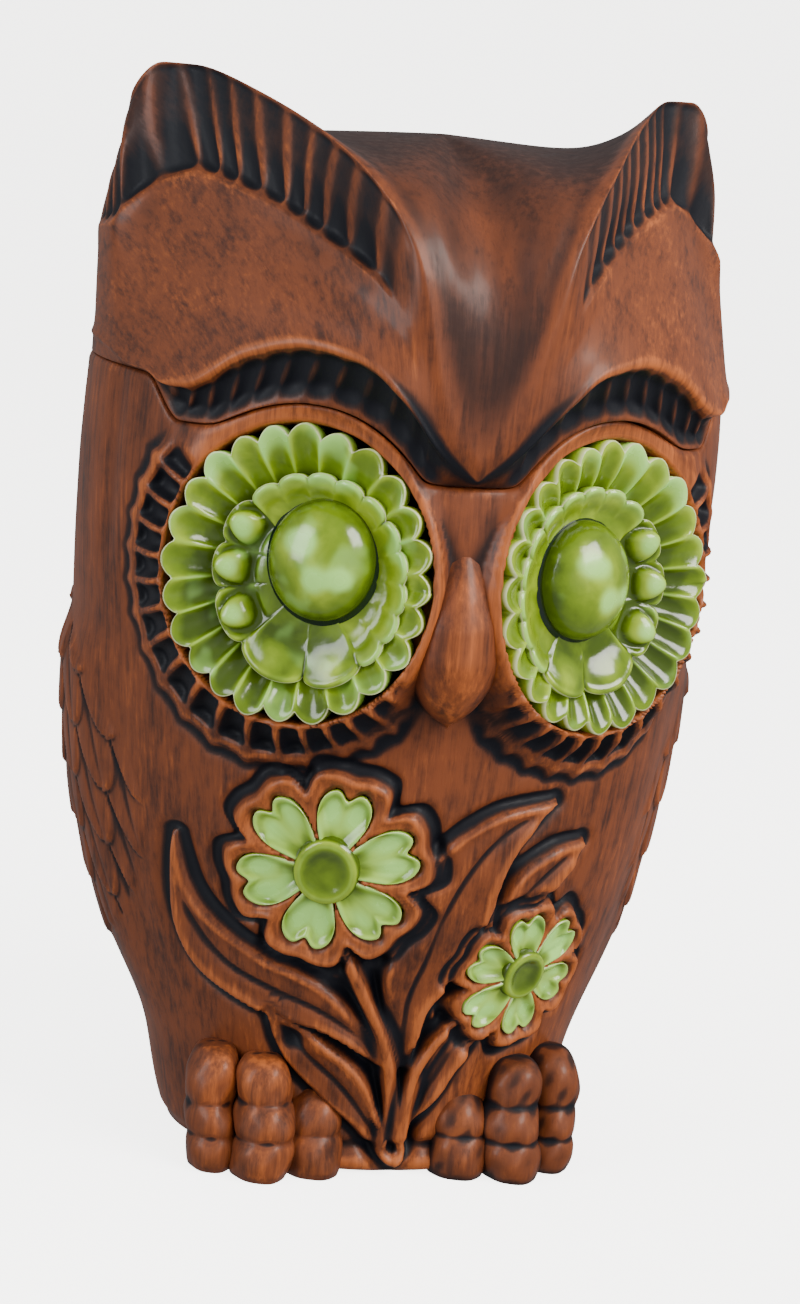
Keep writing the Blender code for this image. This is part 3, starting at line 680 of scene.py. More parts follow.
def flute_ring(points, hand):
    """Sinks the seat of an eye, and cuts the ring of deep flutes inside a scalloped lip round it."""
    place = eye_frame(hand)
    local = to_local(points, place)
    x, y, natural = local[..., 0] / EYE_NARROW / MM, local[..., 1] / MM, local[..., 2] / MM
    radius = np.hypot(x, y)
    turn = eye_polar(x, y, hand)
    present = smooth_step(turn, -222, -204) * (1 - smooth_step(turn, 28, 42))
    present = present * smooth_step(np.abs(points[..., 0]) / MM, 6, 13)
    wander = turn + 2.6 * np.sin(np.radians(turn * 3))
    ridge = (0.5 + 0.5 * np.cos(np.radians(wander) * 34)) ** 1.9
    lip = 49.8 + 6.0 * np.cos(np.radians(turn + 22)) + (1.3 * ridge - 0.9) * present
    base = 0.2 + (natural + 2.4 * present - 0.2) * smooth_step(radius, 42.0, lip)
    pit = smooth_step(radius, 40.8, 42.6) * (1 - smooth_step(radius, lip - 4.6, lip - 0.6))
    shaped = base + pit * present * (-0.9 - 4.6 * (1 - ridge))
    outside = natural + 2.4 * present * (1 - smooth_step(radius, lip, lip + 3.0))
    outside = outside - 0.5 * present * bump(radius, lip + 3.6, 1.6)
    shaped = np.where(radius > lip, outside, shaped)
    seat = -11.5 + 12.0 * smooth_step(radius, 38.6, 40.9)
    shaped = np.where(radius < 40.9, np.minimum(seat, 0.2), shaped)
    near = (points[..., 0] * hand > 0) & (natural > -40) & (radius < 62) & (points[..., 1] < 0.02)
    lift = np.where(near, shaped - natural, 0) * MM
    # Painted shade over the stain: near black down in the pits and on the seat under the eye's dish, and a
    # painted shadow on the cheek just outside the scalloped lip.
    shade = pit * (0.90 + 2.0 * (1 - ridge)) + 0.5 * (radius < 41.6)
    shade = shade + 0.30 * bump(radius, lip + 2.8, 1.3) * smooth_step(turn, -165, -140)
    return points + lift[..., None] * np.array(place.to_3x3())[:, 2], shade * present * near


def breast_height(points):
    """Leaves and stems of the breast, in mm, and how dark the clay round them is."""
    x, z = points[..., 0] / MM, points[..., 2] / MM
    height, shade = np.zeros(x.shape), np.zeros(x.shape)
    front = (points[..., 1] < -0.01) & (z < 125) & (np.abs(x) < 75)
    xs, zs, h, s = x[front], z[front], height[front], shade[front]
    for line in LEAVES:
        h, s = carve_leaf(h, s, xs, zs, line, 2.5)
    for line in STEMS:
        h, s = carve_leaf(h, s, xs, zs, line, 3.0)
    curl = bump(np.hypot((xs + 29.5) / 3.4, (zs - 40.5) / 4.2), 0, 0.9)
    height[front] = h - 2.6 * curl
    shade[front] = s + curl
    return height, shade


def cheek_height(angle, z):
    """The shallow hollow that divides the face from the side, in mm."""
    share = z / RIM_HEIGHT
    line = math.radians(71)
    tall = smooth_step(share, 0.72, 0.80)
    return -0.9 * bump(np.abs(angle), line, 0.05) * tall


def bridge_height(points):
    """The saddle between the eyes above the beak, in mm."""
    x, z = points[..., 0] / MM, points[..., 2] / MM
    low = smooth_step(z, 135, 155) * (1 - smooth_step(z, 174, 196))
    return 3.2 * bump(x, 0, 13) * low * (points[..., 1] < 0)


def base_height(angle, z):
    """The rounded lip of the plinth at the foot of the breast, in mm."""
    front = 1 - smooth_step(np.abs(angle), 0.35, 0.6)
    return front * (2.6 * bump(z / MM, 3.0, 2.6) - 1.2 * bump(z / MM, 8.2, 1.8))


# ---------------------------------------------------------------- the two castings

def grain_upright(points):
    """Brush strokes that run up the body."""
    return points * np.array([620.0, 620.0, 46.0])


def body_casting(stain, glaze):
    angle = column_angles()
    rim = seam_height(angle)
    share = np.linspace(0, 1, BODY_ROWS)[:, None]
    z = share * rim[None] + 0 * angle
    turn = np.broadcast_to(angle, z.shape)
    points = plain_ring(turn, z, wing_bulge(turn, z))
    wing = wing_cover(turn, z)
    height, shade = breast_height(points)
    lift = 0
    for size, place, petal_turn in (
        (LARGE_BLOSSOM, LARGE_PLACE, LARGE_TURN),
        (SMALL_BLOSSOM, SMALL_PLACE, SMALL_TURN),
    ):
        raised, darker, cover = blossom_pad(points, size, place, petal_turn)
        height, shade = height * (1 - cover), np.maximum(shade * (1 - cover), darker)
        lift = lift + raised
    height = height + cheek_height(turn, z) + base_height(turn, z) + bridge_height(points)
    height = height + 1.35 * feather_height(turn, z) * wing
    points = points + (height * MM)[..., None] * grid_normals(points) + lift
    for hand in (1, -1):
        points, darker = flute_ring(points, hand)
        shade = np.maximum(shade, darker)
    points[..., 2] = np.maximum(points[..., 2], 0)
    points[0, :, 2] = 0
    mouth = cavity_ring(angle, RIM_HEIGHT + 0 * angle)
    mouth[:, 2] = rim
    inward = mouth - points[-1]
    inward[:, 2] = 0
    inward = inward / np.linalg.norm(inward, axis=1, keepdims=True)
    for back, drop in ((1, 0.7), (2, 0.25)):
        points[-back] = points[-back] + inward * drop * MM
    inner = [mouth]
    for z_inner in np.linspace(rim.min() - 0.016, FLOOR + WALL, 14):
        inner.append(cavity_ring(angle, z_inner + 0 * angle))
    inner.append(cavity_ring(angle, FLOOR + 0 * angle, WALL))
    grid = np.array(list(points) + inner)
    zeros = np.zeros((len(inner), len(angle)))
    # Stain gathered in the hollows, the darkening the relief returns (painted shade round the eyes' flutes
    # among it) and a darker wing.
    hollow = hollows(points, 5, 1.2 * MM) + blur(shade, 1) + 0.20 * wing
    piece = skin(
        "body_casting", grid, stain,
        hollow=np.concatenate([hollow, zeros]),
        fine=np.concatenate([hollows(points, 1, FINE_DEPTH), zeros]),
        grain=grain_upright(grid),
    )
    piece.data.materials.append(glaze)
    count, rows = len(angle), len(grid)
    mark_inside(piece, ((len(points) + 1) * count, (rows - 1) * count), (rows * count, None))
    return fit(piece, "jar", "jar")


def mark_inside(piece, *spans):
    """Gives the faces in each span of face numbers the piece's second material."""
    index = np.zeros(len(piece.data.polygons), np.int32)
    for start, stop in spans:
        index[start:stop] = 1
    piece.data.polygons.foreach_set("material_index", index)


def between(rings, rows):
    """Rows of points on smooth curves through the rings, and each row's place among the rings."""
    stack = np.array(rings)
    stations = np.arange(len(rings), dtype=float)
    wanted = np.concatenate([k + np.arange(n) / n for k, n in enumerate(rows)] + [[len(rings) - 1]])
    made = np.empty((len(wanted),) + stack.shape[1:])
    for column in range(stack.shape[1]):
        for axis in range(3):
            made[:, column, axis] = smooth_table(wanted, stations, stack[:, column, axis])
    return made, wanted


def grain_head(points):
    """Brush strokes that run down the crown and slant in from the ears over the brows."""
    x, y, z = np.moveaxis(points, -1, 0)
    slant = 0.9 * (z - 0.26) * smooth_step(np.abs(x), 0, 0.09)
    return np.stack([(x - np.sign(x) * slant) * 620, y * 300, z * 52], -1)


def arc_from_front(points, angle):
    """Distance from the front round each row, in mm, the same on both sides."""
    step = np.linalg.norm(np.diff(points[:, :len(angle) // 2 + 1], axis=1), axis=-1)
    arc = np.concatenate([np.zeros((len(points), 1)), np.cumsum(step, axis=1)], axis=1) / MM
    return np.concatenate([arc, arc[:, -2:0:-1]], axis=1)


def soften(grid, station, angle):
    """Rounds the folds between the head's outline curves, most of all on the brow and the crown."""
    keep = smooth_step(station, 0.05, 0.5)[:, None, None]
    soft = grid + keep * (blur(grid, 3) - grid)
    brow = smooth_step(station, 1.0, 1.3) * (1 - smooth_step(station, 1.75, 1.98))
    turn = np.abs(angle)[None]
    crown = smooth_step(station, 2.95, 3.7)[:, None] * (1 - smooth_step(turn, 0.9, 1.5))
    soft = soft + (brow[:, None] * smooth_step(turn, 0.15, 0.5))[..., None] * (blur(soft, 10) - soft)
    return soft + crown[..., None] * (blur(soft, 14) - soft)


def head_height(points, station, angle):
    """Relief of the head in mm, and how much darker it is coloured: stain in the fluted ears, stain and
    painted shade in the hollows under the brows, and darker over the crown and at the V of the brows.
    """
    arc = arc_from_front(points, angle)
    turn = np.degrees(np.abs(angle))[None] + 0 * arc
    row = station[:, None] + 0 * arc
    ear_arc = arc[np.searchsorted(station, 2.5)][None]
    brow_arc = arc[np.searchsorted(station, 0.5)][None]
    ear = smooth_step(row, 2.0, 2.12) * (1 - smooth_step(row, 2.80, 3.0))
    ear = ear * smooth_step(turn, 17, 27) * (1 - smooth_step(turn, 84, 98))
    along = ear_arc - (row - 2) * 9 + 1.6 * np.sin(ear_arc / 8)
    valley = 1 - (0.5 + 0.5 * np.cos(along * 2 * math.pi / 11.2)) ** 1.7
    low = 1 - smooth_step(row, 2.04, 2.50)
    brow = smooth_step(row, 0.08, 0.40) * (1 - smooth_step(row, 0.76, 0.98))
    brow = brow * smooth_step(turn, 4, 12) * (1 - smooth_step(turn, 54, 63))
    scoop = 1 - (0.5 + 0.5 * np.cos(brow_arc * 2 * math.pi / 7.8)) ** 1.6
    height = -ear * (0.8 + 1.1 * low + valley * (0.6 + 1.2 * low)) - brow * (2.8 + 1.2 * scoop)
    height = height + 0.5 * bump(row, 1.0, 0.08) * smooth_step(turn, 4, 12)
    # Stain in the ear flutes; stain and painted shade in the hollows under the brow's overhang.
    shade = ear * (0.58 + valley * (0.10 + 0.45 * low)) + brow * (0.95 + 0.40 * scoop)
    shade = shade + 0.62 * smooth_step(row, 2.9, 3.5)
    shade = shade + 1.3 * bump(row, 1.0, 0.24) * (1 - smooth_step(turn, 10, 24))
    shade = shade + 0.8 * (1 - smooth_step(row, 1.1, 1.9)) * (1 - smooth_step(turn, 6, 18))
    return height, shade


def head_casting(stain, glaze):
    angle = column_angles()
    rim = seam_height(angle)
    seat = rim + SEAT_GAP
    foot = plain_ring(angle, rim, wing_bulge(angle, rim) - 0.6 * MM)
    foot[:, 2] = seat
    crest = head_curve(BROW_CREST, angle)
    crest[:, 2] = np.maximum(crest[:, 2], seat + 1.2 * MM)
    fringe, ridge, edge, crown = (head_curve(c, angle) for c in (FRINGE_EDGE, EAR_RIDGE, CROWN_EDGE, CROWN))
    apex = head_curve([APEX] * len(HEAD_ANGLES), angle)
    apex[:, 0] = 0
    tip = apex * 0.97 + crown * 0.03
    points, station = between([foot, crest, fringe, ridge, edge, crown, tip], HEAD_ROWS)
    points = soften(points, station, angle)
    height, shade = head_height(points, station, angle)
    outer = points + (height * MM)[..., None] * grid_normals(points)
    outer[0] = foot
    low = seat - COLLAR_DEPTH

    def collar(z, inset=0.0):
        ring = cavity_ring(angle, RIM_HEIGHT + 0 * angle, COLLAR_CLEARANCE + inset)
        ring[:, 2] = z
        return ring

    def inward(ring, distance, drop):
        moved = ring.copy()
        reach = np.hypot(ring[:, 0], ring[:, 1])
        moved[:, :2] *= (1 - distance / reach)[:, None]
        moved[:, 2] -= drop
        return moved

    room = inward(fringe, LID_WALL, 0)
    room[:, 2] = np.maximum(room[:, 2], seat + 1.4 * LID_WALL)
    inner = [collar(seat), collar(low), collar(low, COLLAR_WALL), collar(seat + LID_WALL, COLLAR_WALL)]
    inner += [room, inward(edge, LID_WALL, LID_WALL), inward(crown, 0, LID_WALL), inward(tip, 0, LID_WALL)]
    hollow = hollows(outer, 6, 1.3 * MM) + shade
    grid = np.array(inner[::-1] + list(outer))
    zeros = np.zeros((len(inner), len(angle)))
    piece = skin(
        "head_casting", grid, stain,
        hollow=np.concatenate([zeros, hollow]),
        fine=np.concatenate([zeros, hollows(outer, 1, FINE_DEPTH)]),
        grain=grain_head(grid),
    )
    piece.data.materials.append(glaze)
    mark_inside(piece, (0, (len(inner) - 3) * len(angle)))
    return fit(piece, "lid", "lid")


# ---------------------------------------------------------------- eyes

def polar(count, radii_shares):
    """Angles and radius shares of a round grid, one row for each share."""
    turn = np.arange(count) * 2 * math.pi / count
    return np.meshgrid(turn, radii_shares)


def glazed(name, place, top, under, glaze, **marks):
    """A skin over a top surface and the rings under it, given in a frame. Only the top is marked."""
    rings = [*to_world(top, place), *(to_world(ring, place) for ring in under)]
    unmarked = np.zeros((len(under), top.shape[1]))
    return skin(name, rings, glaze, **{
        mark: np.concatenate([values, unmarked]) for mark, values in marks.items()
    })


def dish(top, back, place, name, glaze, edge, pale):
    """A glazed piece from its top surface, centre first, closed by a back at the given height."""
    under = top[-1].copy()
    under[:, 2] = back
    inside = under.copy()
    inside[:, :2] *= 0.86
    hollow = -hollows(top, 3, 0.6 * MM)
    return glazed(name, place, top, [under, inside], glaze, hollow=hollow, edge=edge, pale=pale)


def outer_dish(hand, side, glaze):
    """The dish of scalloped petals, each a soft trough between two low ribs."""
    shares = np.concatenate([np.linspace(0.05, 0.58, 14), np.linspace(0.60, 1.0, 44)])
    turn, share = polar(OUTER_PETALS * 16, shares)
    local = turn * OUTER_PETALS / 2 + 0.25 * np.sin(3 * turn)
    number = np.floor(local / math.pi + 0.5)
    lobe = np.abs(np.cos(local)) ** 0.75
    reach = 0.992 + 0.010 * np.sin(number * 2.4 + hand)
    radius = share * EYE_RADIUS * reach * (0.905 + 0.095 * lobe)
    height = -7.0 + 7.9 * smooth_step(share, 0.58, 1.0) ** 0.8
    trough = smooth_step(share, 0.62, 0.80)
    height = height - trough * (0.80 * lobe - 0.15) + 0.5 * bump(share, 0.97, 0.05) * lobe
    height = height + 0.45 * np.sin(number * 1.7 + 2 * hand) * smooth_step(share, 0.8, 1.0)
    top = np.stack([radius * EYE_NARROW * np.cos(turn), radius * np.sin(turn), height * MM], -1)
    # Paler towards the petal tips, with painted light on the upper outer petals; painted shade on the lower
    # outer petals, and in the dish's middle under the cupped flower.
    lit = np.clip(np.cos(turn - math.radians(90 - 48 * hand)), 0, 1)
    pale = (0.15 + 0.95 * lit) * smooth_step(share, 0.70, 0.98) * (0.7 + 0.3 * np.sin(number * 2.9))
    shaded = np.clip(np.cos(turn - math.radians(270 + 50 * hand)), 0, 1)
    dark = 1.1 * shaded * (1 - 0.5 * smooth_step(share, 0.8, 1.0))
    dark = dark + 0.35 * (1 - smooth_step(share, 0.62, 0.8))
    rim = smooth_step(share, 0.955, 1.0)
    place = eye_frame(hand)
    piece = dish(top, -9.6 * MM, place, f"{side}_eye_petal_dish", glaze, rim, pale - dark)
    return fit(piece, "jar", f"{side}_eye_dish")


def inner_flower(hand, side, glaze):
    """The cupped flower: small petals by the beak, three beaded cups outside, two large lobes below."""
    shares = np.concatenate([np.linspace(0.10, 0.55, 8), np.linspace(0.57, 1.0, 46)])
    turn, share = polar(300, shares)
    degrees = eye_polar(np.cos(turn), np.sin(turn), hand)
    edges = np.array(LOBE_EDGES, float)
    place_in = np.clip(np.searchsorted(-edges, -degrees) - 1, 0, len(edges) - 2)
    middle = (edges[place_in] + edges[place_in + 1]) / 2
    half = (edges[place_in] - edges[place_in + 1]) / 2
    lobe = np.clip(1 - ((degrees - middle) / half) ** 2, 0, 1) ** 0.5
    large = smooth_step(half, 9.4, 13)
    broad = (half > 18.5) & (middle < -50)
    reach = 29.2 * (0.905 + (0.07 + 0.035 * large) * lobe)
    radius = share * reach
    height = -4.6 + 3.4 * smooth_step(share, 0.60, 0.97)
    beside = np.radians(degrees - middle) * radius
    away = np.hypot(beside, radius - 0.81 * reach)
    bead = np.sqrt(np.clip(1 - (away / 4.5) ** 2, 0, 1)) * large * ~broad
    mound = np.exp(-((away / 6.5) ** 2)) * broad
    height = height + 2.8 * bead + 1.5 * mound - 0.9 * bump(away, 5.6, 1.3) * large * ~broad
    height = height + 0.8 * bump(share, 0.965, 0.04) * lobe
    height = height - (1.0 + 0.9 * large) * (1 - lobe) * smooth_step(share, 0.66, 0.92)
    height = height - 0.8 * bump(share, 0.78, 0.08) * (1 - large)
    top = np.stack([radius * 0.95 * MM * np.cos(turn), radius * MM * np.sin(turn), height * MM], -1)
    place = eye_frame(hand) @ Matrix.Translation((-hand * 4.2 * MM, -0.8 * MM, 0.4 * MM))
    rim = smooth_step(share, 0.965, 1.0)
    # Painted reflections on the beaded cups and the two lobes below, with paler glaze on the rim and the
    # small petals.
    pale = 0.95 * bead**2 + 0.35 * mound**3 + 0.30 * smooth_step(share, 0.85, 0.98) + 0.3 * (1 - large)
    # Painted shade on the flower's floor round the dome, heaviest on its lower outer side, and darker round
    # each bead.
    low = np.clip(np.cos(np.radians(degrees + 45)), 0, 1)
    dark = 0.6 * large * bump(away, 6.0, 2.2) + (0.15 + 0.45 * low) * (1 - smooth_step(share, 0.55, 0.90))
    piece = dish(top, -6.8 * MM, place, f"{side}_eye_cupped_flower", glaze, rim, pale - dark)
    return fit(piece, "jar", f"{side}_eye_inner_flower")


def eye_dome(hand, side, glaze):
    """The glossy dome, a little taller than wide, with glaze gathered round its foot."""
    bend = np.linspace(0.02, 1, 30) * math.pi / 2
    turn, rise = polar(96, np.append(bend, bend[-1]))
    radius = 15.6 * np.sin(rise)
    height = -3.8 + 11.2 * np.cos(rise) ** 0.9
    radius[-1] *= 1.08
    height[-1] = -4.1
    top = np.stack([radius * 0.95 * MM * np.cos(turn), radius * 1.05 * MM * np.sin(turn), height * MM], -1)
    lift = 3.3 - 1.1 * hand
    place = eye_frame(hand) @ Matrix.Translation((-hand * 6.4 * MM, lift * MM, 0))
    hollow = 0.40 * smooth_step(rise, 0.2, 1.5) + 1.5 * smooth_step(rise, 1.42, 1.56)
    x, y = radius * np.cos(turn), radius * np.sin(turn)
    # Pale patches on the dome: partly painted reflections, partly paler glaze.
    pale = 1.1 * bump(np.hypot(x + 4.5, (y - 5.0) / 0.7), 0, 6.0)
    pale = pale + 1.1 * bump(np.hypot(x - 1.0, y + 4.5), 0, 4.0)
    pale = pale + 0.9 * bump(np.hypot(x - 8.5, y + 3.5), 0, 3.6) - 0.5 * smooth_step(rise, 0.9, 1.5)
    under = top[-1].copy()
    under[:, 2] = -6.2 * MM
    piece = glazed(
        f"{side}_eye_glossy_dome", place, top, [under], glaze,
        hollow=hollow, edge=0 * hollow, pale=pale,
    )
    return fit(piece, "jar", f"{side}_eye_dome")


# ---------------------------------------------------------------- blossoms

def ground_under(tree, place, x, y):
    """Height of the body's plain surface under a point of a frame, in its frame."""
    start = place @ Vector((x, y, 0.03))
    hit = tree.ray_cast(start, -place.col[2].to_3d().normalized(), 0.08)[0]
    return (place.inverted() @ hit).z if hit else -0.004


def plain_tree():
    """A search tree over the body's surface without its relief."""
    angle = column_angles()[::2]
    z = np.linspace(0, 0.13, 60)[:, None] + 0 * angle
    grid = plain_ring(np.broadcast_to(angle, z.shape), z)
    rows, count, _ = grid.shape
    faces = [
        (r * count + c, r * count + (c + 1) % count, (r + 1) * count + (c + 1) % count, (r + 1) * count + c)
        for r in range(rows - 1) for c in range(count)
    ]
    return BVHTree.FromPolygons([tuple(p) for p in grid.reshape(-1, 3)], faces)


def petal_ground(tree, place, x, y):
    """Height of the body's plain surface under a polar grid of a blossom, in its frame."""
    rows, spots = np.arange(0, x.shape[0], 3), np.arange(0, x.shape[1], 4)
    coarse = np.array([[ground_under(tree, place, x[r, c], y[r, c]) for c in spots] for r in rows])
    down = np.arange(x.shape[0])
    part_way = np.array([np.interp(down, rows, coarse[:, c]) for c in range(len(spots))]).T
    closed = np.concatenate([part_way, part_way[:, :1]], axis=1)
    round_ends = np.append(spots, x.shape[1])
    return np.array([np.interp(np.arange(x.shape[1]), round_ends, row) for row in closed])


def blossom(name, size, place_on, turn_by, tree, glaze):
    """Heart-shaped petals, each a shallow dish, in one piece round a low ring."""
    place = surface_frame(*place_on) @ Matrix.Rotation(turn_by, 4, "Z")
    turn, share = polar(BLOSSOM_PETALS * 48, np.linspace(0.04, 1.0, 40))
    outline = petal_edge(turn)
    radius = share * size * outline
    local = petal_share(turn)
    inside = (size * outline - radius) / MM
    sides = (0.45 - np.abs(local)) * 2 * math.pi / BLOSSOM_PETALS * radius / MM
    rim = np.minimum(inside, np.maximum(sides, 0))
    bowl = smooth_step(rim, 0.2, 3.4)
    number = np.floor(turn * BLOSSOM_PETALS / (2 * math.pi))
    height = 1.7 - 1.7 * bowl + 0.15 * np.sin(turn * 9 + share * 7) * bowl
    height = height * smooth_step(radius / size, 0.14, 0.38)
    x, y = radius * np.cos(turn), radius * np.sin(turn)
    top = np.stack([x, y, petal_ground(tree, place, x, y) + height * MM], -1)
    under = top[-1].copy()
    under[:, 2] -= 2.6 * MM
    heart = under.copy()
    heart[:, :2] *= 0.6
    hollow = -hollows(top, 3, 0.7 * MM) + 0.75 * (1 - smooth_step(share, 0.34, 0.62))
    hollow = hollow + 0.35 * bump(rim, 1.7, 0.9) - 0.10
    paleness = bump(np.abs(local), 0.19, 0.13) * bump(share, 0.74, 0.15) * (0.7 + 0.3 * np.sin(number * 2.3))
    piece = glazed(
        f"{name}_petals", place, top, [under, heart], glaze,
        hollow=hollow, edge=1 - smooth_step(rim, 0.10, 0.75), pale=0.55 + 0.60 * paleness,
    )
    fit(piece, "jar", name)
    ring = size * 0.37
    turn, share = polar(72, np.linspace(0.03, 1.0, 24))
    height = 1.3 + 1.3 * bump(share, 0.76, 0.24) - 1.2 * smooth_step(share, 0.9, 1.0)
    height = height + 0.3 * share * np.cos(turn - 1)
    button = np.stack([share * ring * np.cos(turn), share * ring * 1.10 * np.sin(turn), height * MM], -1)
    under = button[-1].copy()
    under[:, 2] -= 1.8 * MM
    hollow = -hollows(button, 2, 0.30 * MM) + 0.9 * smooth_step(share, 0.9, 1.0) + 0.45
    centre = glazed(
        f"{name}_button", place, button, [under], glaze,
        hollow=hollow, edge=0 * hollow, pale=0.5 * bump(share, 0.78, 0.12),
    )
    fit(centre, "jar", f"{name}_centre")


# ---------------------------------------------------------------- beak and feet

def beak_piece(stain):
    """A keeled beak, broad at the bridge, full in the middle and pointed below."""
    z = np.linspace(136.5, 188, 66)
    heights = (136.5, 139, 143.5, 150, 157, 164, 171, 178, 184, 188)
    width = smooth_table(z, heights, (0.5, 4.2, 8.4, 11.6, 12.9, 12.5, 10.9, 8.8, 7.2, 6.0))
    front = smooth_table(z, heights, (78.5, 81.6, 85.8, 89.4, 91.0, 90.9, 89.2, 86.4, 83.2, 79.8))
    turn = np.arange(96) * 2 * math.pi / 96
    x = np.sign(np.sin(turn)) * np.abs(np.sin(turn)) ** 0.72
    y = np.sign(np.cos(turn)) * np.abs(np.cos(turn)) ** 0.85
    keel = 0.9 * bump(np.sin(turn), 0, 0.20) * (np.cos(turn) > 0)
    back = 74.0
    grid = np.stack([
        width[:, None] * x, -(back + (front - back)[:, None] * y) - keel, z[:, None] + 0 * turn,
    ], -1) * MM
    # Painted shade on the beak's sides and top, where it meets the body, and a painted highlight along the
    # keel.
    behind = 1 - smooth_step(np.cos(turn), 0.20, 0.72)
    hollow = 1.1 * behind[None] + 0.3 * smooth_step(z, 176, 187)[:, None] - 0.40
    hollow = hollow - 0.35 * bump(np.sin(turn), 0.1, 0.35)[None] * (np.cos(turn) > 0)
    piece = skin(
        "keeled_beak", list(grid), stain,
        hollow=hollow, fine=hollows(grid, 1, FINE_DEPTH) * 0.5, grain=grain_upright(grid) * 0.8,
    )
    return fit(piece, "jar", "beak")


def toe_rings(hand, number):
    """Rings of one toe: rounded knuckles stacked on each other, leaning back as they rise."""
    across, forward, knuckles = TOES[number]
    top = knuckles[-1][0] + knuckles[-1][1]
    level = np.linspace(0, 1, 84)
    z = top * (1 - (1 - level) ** 1.2)
    turn = np.arange(60) * 2 * math.pi / 60
    swell = [np.sqrt(np.clip(1 - ((z - mid) / tall) ** 2, 0, 1)) ** 0.55 for mid, tall, _, _ in knuckles]
    half = np.max([s * k[2] for s, k in zip(swell, knuckles)], axis=0)
    deep = np.max([s * k[3] for s, k in zip(swell, knuckles)], axis=0)
    half[-1], deep[-1] = 0.3, 0.3
    lean = 4.2 * (z / top) ** 1.6 + 0.5 * np.sin(z / 3.1 + number)
    drift = 0.6 * np.sin(z / 5.3 + 2 * number)
    wobble = 1 + 0.03 * np.sin(3 * turn + z[:, None] / 2.7 + number)
    wobble = wobble + 0.015 * np.sin(7 * turn - z[:, None] / 1.6)
    grid = np.stack([
        hand * (across + drift)[:, None] + half[:, None] * np.sin(turn) * wobble,
        -(forward - lean)[:, None] - deep[:, None] * np.cos(turn) * wobble,
        z[:, None] + 0 * turn,
    ], -1)
    return blur(grid, 1) * MM


def foot_piece(hand, side, stain):
    """Three knuckled toes side by side, in one piece."""
    toes = []
    for number in range(len(TOES)):
        grid = toe_rings(hand, number)
        grid[0, :, 2] = 0
        beside = np.abs(np.sin(np.arange(grid.shape[1]) * 2 * math.pi / grid.shape[1]))[None]
        low = 1 - smooth_step(grid[..., 2] / MM, 0.0, 2.5)
        hollow = np.clip(hollows(grid, 4, 0.36 * MM), -0.9, 2)
        # Painted shade where the toes touch and at the floor, and more painted shade over the owl's left
        # foot (hand 1) than over the right.
        hollow = hollow + 0.7 * smooth_step(beside, 0.84, 1.0) + 0.4 * low + 0.75 + 0.40 * hand
        toes.append(skin(
            f"{side}_toe_{number}", list(grid), stain,
            hollow=hollow, fine=hollows(grid, 1, FINE_DEPTH), grain=grain_upright(grid) * 0.7,
        ))
    joined = toes[0]
    with bpy.context.temp_override(active_object=joined, selected_editable_objects=toes, object=joined):
        bpy.ops.object.join()
    joined.name = f"{side}_knuckled_foot"
    return fit(joined, "jar", f"{side}_foot")


# ---------------------------------------------------------------- stage, lights and camera

def sweep(paper):
    """A floor that curves up into a backdrop. Its glow neither lights the owl nor shows in the glaze."""
    profile = [(-PAPER_REACH, 0.0), (PAPER_BEND_START, 0.0)]
    for turn in np.radians(np.arange(10, 91, 10)):
        behind = PAPER_BEND_START + PAPER_BEND * math.sin(turn)
        profile.append((behind, PAPER_BEND * (1 - math.cos(turn))))
    profile.append((PAPER_BEND_START + PAPER_BEND, PAPER_HEIGHT))
    points = [(x, y, z) for y, z in profile for x in (-PAPER_REACH, PAPER_REACH)]
    faces = [(2 * k, 2 * k + 1, 2 * k + 3, 2 * k + 2) for k in range(len(profile) - 1)]
    mesh = bpy.data.meshes.new("paper_sweep")
    mesh.from_pydata(points, [], faces)
    mesh.shade_smooth()
    mesh.materials.append(paper)
    made = bpy.data.objects.new("paper_sweep", mesh)
    made.visible_glossy = False
    made.visible_diffuse = False
    bpy.context.scene.collection.objects.link(made)


def softbox(name, place, aim, size, power, colour, mirrored=True):
    """A soft light. Only a mirrored one leaves a highlight on the glaze."""
    light = bpy.data.lights.new(name, "AREA")
    light.shape = "RECTANGLE"
    light.size, light.size_y = size
    light.energy = power
    light.color = colour
    made = bpy.data.objects.new(name, light)
    made.location = place
    made.rotation_euler = (Vector(aim) - Vector(place)).to_track_quat("-Z", "Y").to_euler()
    made.visible_glossy = mirrored
    bpy.context.scene.collection.objects.link(made)


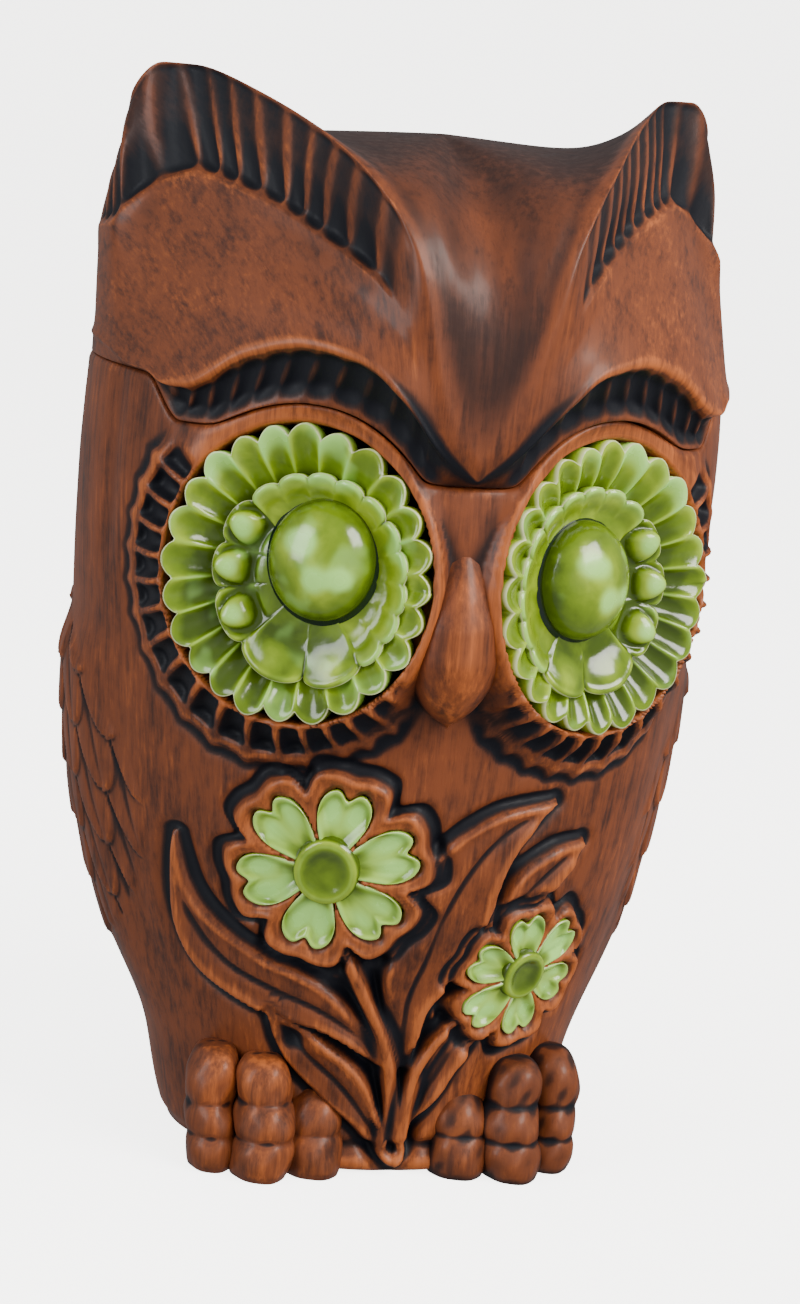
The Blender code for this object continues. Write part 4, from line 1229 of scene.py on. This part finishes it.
def room_light():
    world = bpy.data.worlds.new("pale_room")
    world.use_nodes = True
    world.node_tree.nodes["Background"].inputs["Color"].default_value = (0.95, 0.97, 1.0, 1)
    world.node_tree.nodes["Background"].inputs["Strength"].default_value = 0.42
    bpy.context.scene.world = world


def camera():
    level = math.cos(CAMERA_RISE)
    back = Vector((math.sin(CAMERA_TURN) * level, -math.cos(CAMERA_TURN) * level, math.sin(CAMERA_RISE)))
    lens = bpy.data.cameras.new("camera")
    lens.sensor_width = CAMERA_SENSOR
    lens.lens = CAMERA_LENS
    made = bpy.data.objects.new("camera", lens)
    made.location = Vector(CAMERA_AIM) + back * CAMERA_DISTANCE
    turned = (-back).to_track_quat("-Z", "Y").to_matrix() @ Matrix.Rotation(CAMERA_ROLL, 3, "Z")
    made.rotation_euler = turned.to_euler()
    bpy.context.scene.collection.objects.link(made)
    bpy.context.scene.camera = made


STAIN = brown_stain()
INSIDE = inside_glaze()
GREEN = green_glaze()
body_casting(STAIN, INSIDE)
head_casting(STAIN, INSIDE)
for hand, side in ((1, "left"), (-1, "right")):
    outer_dish(hand, side, GREEN)
    inner_flower(hand, side, GREEN)
    eye_dome(hand, side, GREEN)
    foot_piece(hand, side, STAIN)
beak_piece(STAIN)
breast = plain_tree()
blossom("large_blossom", LARGE_BLOSSOM, LARGE_PLACE, LARGE_TURN, breast, GREEN)
blossom("small_blossom", SMALL_BLOSSOM, SMALL_PLACE, SMALL_TURN, breast, GREEN)
sweep(floor_paper())
room_light()
softbox("key_softbox", (0.75, -0.75, 0.95), (0, 0, 0.16), (0.8, 0.6), 24, (1.0, 0.98, 0.95))
softbox("fill_softbox", (-1.0, -0.45, 0.55), (0, 0, 0.15), (0.5, 0.9), 11, (0.93, 0.96, 1.0))
softbox("top_softbox", (-0.15, 0.35, 1.25), (0, 0, 0.2), (1.0, 0.8), 4, (1, 1, 1), False)
softbox("front_softbox", (0.45, -1.35, 0.30), (0, 0, 0.10), (1.1, 0.7), 13, (1.0, 0.99, 0.97), False)
camera()
